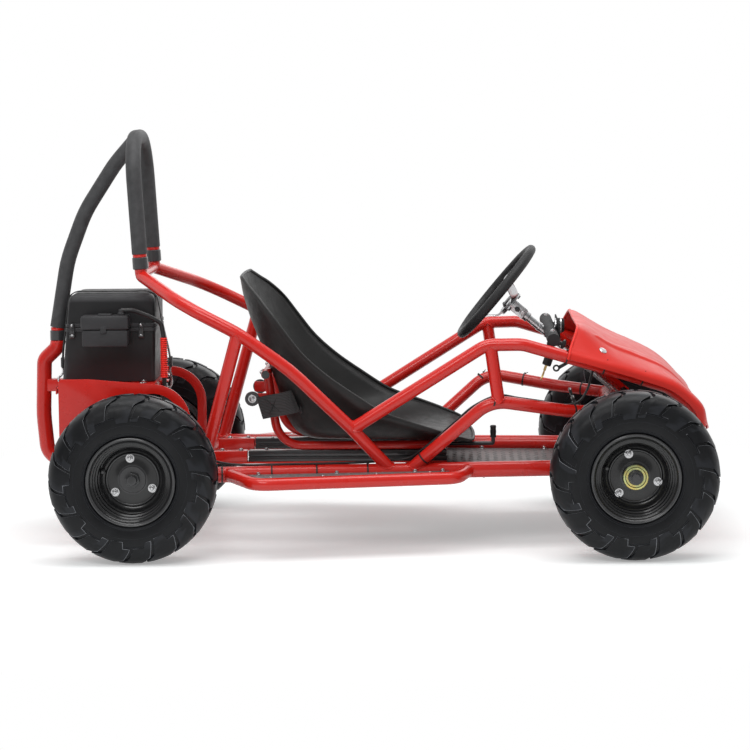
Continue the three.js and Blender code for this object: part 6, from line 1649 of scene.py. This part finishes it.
KEY_LEAN = math.radians(20)
KEY_AXIS = Vector((-math.sin(KEY_LEAN), 0, -math.cos(KEY_LEAN)))
LOCK_TOP = Vector((366, -214, 390))


def make_dash():
    bm = bmesh.new()
    rod(bm, (371, -247, 418.5), (371, 247, 418.5), UPPER, 28)
    block(bm, (386, -110, 408), (389, 110, 440), 0.8)
    for y in (-80, 80):
        block(bm, (372, y - 2, 411), (388, y + 2, 426), 0.6)
    turned(bm, [(0, 0), (0, 12.4), (2, 14), (8, 15), (16, 15), (17, 13.6), (17, 0)], (399, -70, 432.5),
           (-1, 0, 0), 40)
    block(bm, (358.6, -220, 379), (371, -208, 412), 1.4)
    rod(bm, LOCK_TOP, LOCK_TOP + KEY_AXIS * 25.8, 9, 28, 1.2)
    rod(bm, LOCK_TOP - KEY_AXIS * 4, LOCK_TOP + KEY_AXIS * 1, 10.5, 28, 1)
    rod(bm, on_column(66), on_column(84), 16, 36, 1.2)
    piece("dash_bar", bm, "frame", DULL_BLACK, ["dash_panel"])
    bm = bmesh.new()
    block(bm, (379, -204, 404), (392, -200, 411), 0.8)
    oval = [(392 + 5 * math.cos(a) + 3.4 * math.sin(a), -206, 406 + 9 * math.sin(a)) for a in
            (math.radians(15 * k) for k in range(24))]
    prism(bm, [oval], (0, 10, 0), 1.2)
    piece("rocker_switch", bm, "frame", BLACK_COAT)
    bm = bmesh.new()
    turned(bm, [(-1.6, 3.6), (-1.6, 7), (1.6, 7), (1.6, 3.6)], (375.6, -255, 364), ACROSS, 32, closed=True)
    prism(bm, [[(379.5, -256.6, 368.6), (398, -256.6, 378), (403, -256.6, 374), (381.5, -256.6, 361.6)]],
          (0, 3.2, 0), 0.5)
    piece("wire_clip", bm, "frame", TIE)
    bm = bmesh.new()
    start = Vector((371, 24, 418.5))
    rod(bm, start, start + DOWN * 208, 9, 24)
    piece("column_brace", bm, "frame", RED)
    bm = bmesh.new()
    turned(bm, [(17, 12.4), (17, 14.8), (19, 14.4), (19.6, 12.6)], (399, -70, 432.5), (-1, 0, 0), 48,
           closed=True)
    turned(bm, [(6, 15), (6, 16.2), (9, 16.2), (9, 15)], (399, -70, 432.5), (-1, 0, 0), 48, closed=True)
    for _, side in SIDES:
        bolt(bm, (371, side * 190, 418.5 + UPPER), UP, 3.8)
    rod(bm, LOCK_TOP + KEY_AXIS * 24.6, LOCK_TOP + KEY_AXIS * 26, 7.4, 28, 0.4)
    piece("gauge_rings", bm, "frame", ZINC)
    bm = bmesh.new()
    foot = LOCK_TOP + KEY_AXIS * 26
    rod(bm, foot - KEY_AXIS * 8, foot + KEY_AXIS * 11, 2.6, 16, 0.3)
    side = KEY_AXIS.cross(ACROSS)

    def bow(u, v, lift):
        angle = 2 * math.pi * u
        out = ACROSS * 7.4 * math.cos(angle) + KEY_AXIS * 10.6 * math.sin(angle)
        return foot + KEY_AXIS * 21 + out * share(0.42, 1, v) + side * (lift - 0.5) * 2.8

    slab(bm, 32, 2, bow, 0.3)
    piece("key_blade", bm, "key", BRASS, ["key"])


def make_pedals():
    turn = Matrix.Rotation(math.radians(-17), 3, "Y")
    for name, y in (("throttle", -72), ("brake", 72)):
        pivot = Vector((462, y, 160.25))

        def local(x, yy, z):
            return pivot + Vector((x, yy, z))

        bm = bmesh.new()
        turned(bm, [(-5, 5.8), (-5, 8.2), (-4.2, 9), (4.2, 9), (5, 8.2), (5, 5.8)], pivot, ACROSS, 32,
               closed=True)
        block(bm, local(-4.6, -4.6, 5), local(4.6, 4.6, 104), 1, turn, pivot)
        block(bm, local(-7.6, -22, 74), local(-4.8, 22, 134), 1, turn, pivot)
        piece(f"{name}_arm", bm, f"{name}_pedal", BLACK_COAT, [f"{name}_pedal"])
        bm = bmesh.new()
        block(bm, local(-10, -23, 73), local(-7.4, 23, 135), 1, turn, pivot)
        for k in range(7):
            z = 78 + k * 8.7
            block(bm, local(-11.4, -19, z - 2), local(-9.4, 19, z + 2), 0.7, turn, pivot)
        piece(f"{name}_tread", bm, f"{name}_pedal", TIE)


# Seat

SEAT_BACK, SEAT_FRONT, SEAT_HALF, SEAT_FLOOR, SEAT_TOP, SEAT_WALL = -258, 213, 236, 200, 540, 4
# Rows from the top edge down and forward: middle line x, z, then lip x, y, z, as shares of the seat
SEAT_SHARES = [
    (0, 0.995, 0.012, 0.47, 0.995), (0.015, 0.88, 0.049, 0.66, 0.945), (0.045, 0.75, 0.085, 0.81, 0.9),
    (0.082, 0.63, 0.144, 0.965, 0.81), (0.118, 0.5, 0.208, 1, 0.69), (0.15, 0.37, 0.282, 0.995, 0.56),
    (0.175, 0.245, 0.378, 0.985, 0.44), (0.2, 0.13, 0.49, 0.98, 0.33), (0.25, 0.048, 0.616, 0.975, 0.218),
    (0.42, 0.024, 0.71, 0.955, 0.168), (0.67, 0.024, 0.843, 0.91, 0.103), (0.865, 0.018, 0.945, 0.79, 0.05),
    (1, 0, 0.985, 0.46, 0.012),
]
BELT_AT, BELT_TILT = Vector((-176.1, 0, 285)), math.radians(15.8)


def seat_lines():
    spine = [(share(SEAT_BACK, SEAT_FRONT, a), 0, share(SEAT_FLOOR, SEAT_TOP, b))
             for a, b, _, _, _ in SEAT_SHARES]
    lip = [(share(SEAT_BACK, SEAT_FRONT, c), SEAT_HALF * d, share(SEAT_FLOOR, SEAT_TOP, e))
           for _, _, c, d, e in SEAT_SHARES]
    return smooth_line(spine, 6), smooth_line(lip, 6)


def seat_point(spine, lip, s):
    rise = abs(s) ** 3
    spread = abs(s) ** 0.85 * (1 if s >= 0 else -1)
    return Vector((share(spine.x, lip.x, rise), lip.y * spread, share(spine.z, lip.z, rise)))


def make_seat_shell():
    spines, lips = seat_lines()
    last = len(spines) - 1

    def place(u, v):
        row = round(v * last)
        s = 2 * u - 1
        p = seat_point(spines[row], lips[row], s)
        groove = 1.6 * bump(abs(s) - 0.38, 0.035) * held((v - 0.12) * 8) * held((0.9 - v) * 8)
        return p + Vector((-0.8, 0, -0.6)) * groove

    bm = bmesh.new()
    draped(bm, 48, last, place)
    shell = piece("seat_bucket", bm, "seat", SEAT_PLASTIC, ["seat_shell"], crease=180)
    thicken(shell, SEAT_WALL)
    edge = [seat_point(spines[r], lips[r], -1) for r in range(last + 1)]
    edge += [seat_point(spines[last], lips[last], s / 12 - 1) for s in range(1, 24)]
    edge += [seat_point(spines[r], lips[r], 1) for r in range(last, -1, -1)]
    edge += [seat_point(spines[0], lips[0], 1 - s / 12) for s in range(1, 24)]
    bm = bmesh.new()
    tube(bm, edge, 3.1, 14, closed=True)
    piece("seat_rim", bm, "seat", SEAT_PLASTIC, crease=60)


def belt_place(n, y, w):
    return BELT_AT + Vector((n * math.cos(BELT_TILT) - w * math.sin(BELT_TILT), y,
                             n * math.sin(BELT_TILT) + w * math.cos(BELT_TILT)))


def make_belt():
    line = [(-46.2, -116.6), (-24, -134), (12, -171), (26, -176), (33, -163), (27, -132), (20, -90),
            (15, -46), (11, -18), (10, 0)]
    line += [(n, -y) for n, y in reversed(line[:-1])]
    route = smooth_line([(n, y, 0) for n, y in line], 6)
    bm = bmesh.new()

    def place(u, v, lift):
        here, run = along_line(route, v)
        out = Vector((run.y, -run.x, 0))
        here = here + out * (lift - 0.5) * 2.4
        return belt_place(here.x, here.y, (u - 0.5) * 46)

    slab(bm, 8, 130, place, 0.5)
    piece("lap_belt", bm, "seat", WEBBING, ["seat_belt"])

    bm = bmesh.new()
    for hand in (-1, 1):
        for k in range(2):
            a, b = belt_place(-30, hand * 129, -17), belt_place(-2, hand * 157, 17)
            if k:
                a, b = belt_place(-30, hand * 129, 17), belt_place(-2, hand * 157, -17)
            lift = Vector((-0.7, hand * 0.9, 0))
            tube(bm, [a + lift, a.lerp(b, 0.5) + lift, b + lift], 0.9, 8)
    piece("belt_stitching", bm, "seat", JACKET)

    bm = bmesh.new()
    corners = [(3.4, -31), (17, -31), (17, 31), (3.4, 31)]
    prism(bm, [[belt_place(n, y, -22) for n, y in corners]], belt_place(0, 0, 22) - belt_place(0, 0, -22),
          3)
    prism(bm, [[belt_place(n, y, -17) for n, y in ((16, 6), (18.4, 6), (18.4, 26), (16, 26))]],
          belt_place(0, 0, 17) - belt_place(0, 0, -17), 1)
    for hand in (-1, 1):
        y0, y1 = sorted((hand * 62, hand * 78))
        prism(bm, [[belt_place(n, y, -25) for n, y in ((9, y0), (22, y0), (22, y1), (9, y1))]],
              belt_place(0, 0, 25) - belt_place(0, 0, -25), 1.4)
        ring = [belt_place(36 + 3 * math.cos(a), hand * (164 + 5 * math.cos(a)), 27 * math.sin(a))
                for a in (2 * math.pi * k / 24 for k in range(24))]
        tube(bm, ring, 2.2, 10, closed=True)
    piece("belt_buckle", bm, "seat", BOX_PLASTIC)

    bm = bmesh.new()
    for hand in (-1, 1):
        place_at = Vector((-236, hand * 114.3, 292))
        turned(bm, [(0, 6), (0, 14.2), (0.8, 15), (3.2, 15), (4, 14.2), (4, 6)], place_at, (0, hand, 0),
               40, closed=True)
    piece("belt_anchor_rings", bm, "seat", BLACK_COAT)
    bm = bmesh.new()
    for hand in (-1, 1):
        bolt(bm, Vector((-236, hand * 118.5, 292)), (0, hand, 0), 6.2, 4)
    piece("belt_anchor_bolts", bm, "seat", ZINC)


def make_seat_frame():
    bm = bmesh.new()
    cross_x, cross_z, tube_z = -206.9, 343, 194.3
    for _, side in SIDES:
        y = side * 105
        tube(bm, bent([(129, y, tube_z), (-183, y, tube_z), (cross_x, y, cross_z + 9)], 55), SEAT_TUBE)
        tab = sorted((side * 110, side * 114))
        block(bm, (-248, tab[0], 281), (-204, tab[1], 303), 1.6)
    tube(bm, [Vector((cross_x, -139, cross_z)), Vector((cross_x, 139, cross_z))], SEAT_TUBE)
    tube(bm, [Vector((120, -105, 193)), Vector((120, 105, 193))], 5.5)
    block(bm, (112.2, -66, 186.5), (127.8, -50, 202.5), 1.4)
    piece("seat_tubes", bm, "seat", RED, ["seat_frame"])
    bm = bmesh.new()
    for _, side in SIDES:
        rod(bm, (cross_x, side * 137.6, cross_z), (cross_x, side * 140, cross_z), 8.4, 24, 1)
        rod(bm, (127.8, side * 105, tube_z), (130, side * 105, tube_z), 8.4, 24, 1)
    piece("seat_tube_caps", bm, "seat", BLACK_COAT)
    bm = bmesh.new()
    for y in (-85, 85):
        bolt(bm, (cross_x - 9, y, cross_z), (-1, 0, 0), 5)
    piece("seat_bolts", bm, "seat", ZINC)


def make_tracks():
    bm = bmesh.new()
    for _, side in SIDES:
        y0, y1 = side * 100 - 13, side * 100 + 13
        block(bm, (-246, y0 + 2, 162.2), (158, y1 - 2, 172), 1)
        block(bm, (-246, y0, 173), (158, y1, 185), 2)
        block(bm, (-240, y0 + 5, 171), (152, y1 - 5, 174), 0.4)
        for x in range(-190, 150, 24):
            block(bm, (x, y0 - 0.3, 176.4), (x + 9, y1 + 0.3, 181.4), 0.6)
    piece("seat_track_rails", bm, "frame", BLACK_COAT, ["seat_base"])
    bm = bmesh.new()
    for _, side in SIDES:
        y0, y1 = side * 100 - 13, side * 100 + 13
        block(bm, (-324, y0, 158.5), (158, y1, 162), 0.8)
        block(bm, (-324, y0, 162), (-248, y1, 184.6), 2)
    half = rail_y(118) - 15
    block(bm, (107, -half, 146.6), (129, half, 161.6), 1.6)
    piece("seat_track_strips", bm, "frame", RED)
    bm = bmesh.new()
    for _, side in SIDES:
        for x in (-300, -262):
            bolt(bm, (x, side * 100, 184.6), UP, 4.4, 2.4)
        for x in (-210, -60):
            bolt(bm, (x, side * 91, 185), UP, 3.2, 2)
    piece("seat_track_bolts", bm, "frame", ZINC)


def make_seat_lever():
    bm = bmesh.new()
    rod(bm, (105.7, -58, 190), (253, -58, 190), 4, 20, 0.5)
    tube(bm, bent([(246, -58, 190), (253, -58, 190), (253, -58, 204)], 5), 4, 20)
    rod(bm, (105.8, -58, 190), (111.6, -58, 190), 6.2, 24, 0.6)
    rod(bm, (128.4, -58, 190), (134.2, -58, 190), 6.2, 24, 0.6)
    piece("slide_lever", bm, "seat_lever", BLACK_COAT, ["seat_lever"])
    bm = bmesh.new()
    turned(bm, [(0, 0), (0, 5.6), (1, 6.4), (6, 5.8), (12, 6.4), (18, 5.8), (23, 6.4), (25, 5), (25.3, 0)],
           (253, -58, 202), UP, 28)
    piece("slide_lever_grip", bm, "seat_lever", GRIP)


# Small things on the frame

def tie_round(bm, place, along, radius, tail=(0, 0, 1)):
    """A cable tie round a tube, with its head and the cut end of its tail."""
    along = Vector(along).normalized()
    tail = Vector(tail).normalized()
    turned(bm, [(-1.6, radius), (-1.6, radius + 0.9), (1.6, radius + 0.9), (1.6, radius)], place, along,
           28, closed=True)
    head = Vector(place) + tail * (radius + 1.6)
    block(bm, head - Vector((2.4, 2.4, 2)), head + Vector((2.4, 2.4, 2)), 0.6)
    rod(bm, head, head + (tail * 0.7 + along).normalized() * 7, 0.8, 8)


def tie_at(bm, route, x, radius, tail):
    """A cable tie round the tube on this route, at this x."""
    start, end = next((a, b) for a, b in zip(route, route[1:]) if a.x <= x <= b.x)
    tie_round(bm, start.lerp(end, (x - start.x) / (end.x - start.x)), end - start, radius, tail)


def make_ties():
    bm = bmesh.new()
    for x in (397, 470, 545):
        tie_at(bm, front_tube_route(-1), x, UPPER, (0.1, -0.3, 1))
    rail = [Vector((RAIL_REAR[0], -RAIL_REAR[1], RAIL_Z)), Vector((RAIL_FRONT[0], -RAIL_FRONT[1], RAIL_Z))]
    for x in (-288, -190, -101, 0):
        tie_at(bm, rail, x, LOWER + 0.2, (0, 0.6, 0.8))
    for hand, places in ((-1, (112, 252, 411)), (1, (234, 323, 447))):
        for x in places:
            tie_at(bm, low_tube_route(hand), x, UPPER, (0.3, 0.5, 1))
    piece("cable_ties", bm, "frame", TIE)


make_tray()
make_case()
make_lid()
make_latches()
make_strap()
make_conduit()
make_sprockets()
make_chain()
make_motor()
make_axle()
make_caliper()
make_front_axle()
make_spindles()
make_tie_rods()
make_column()
make_wheel()
make_hood()
make_dash()
make_pedals()
make_seat_shell()
make_belt()
make_seat_frame()
make_tracks()
make_seat_lever()
make_ties()


bpy.context.view_layer.update()
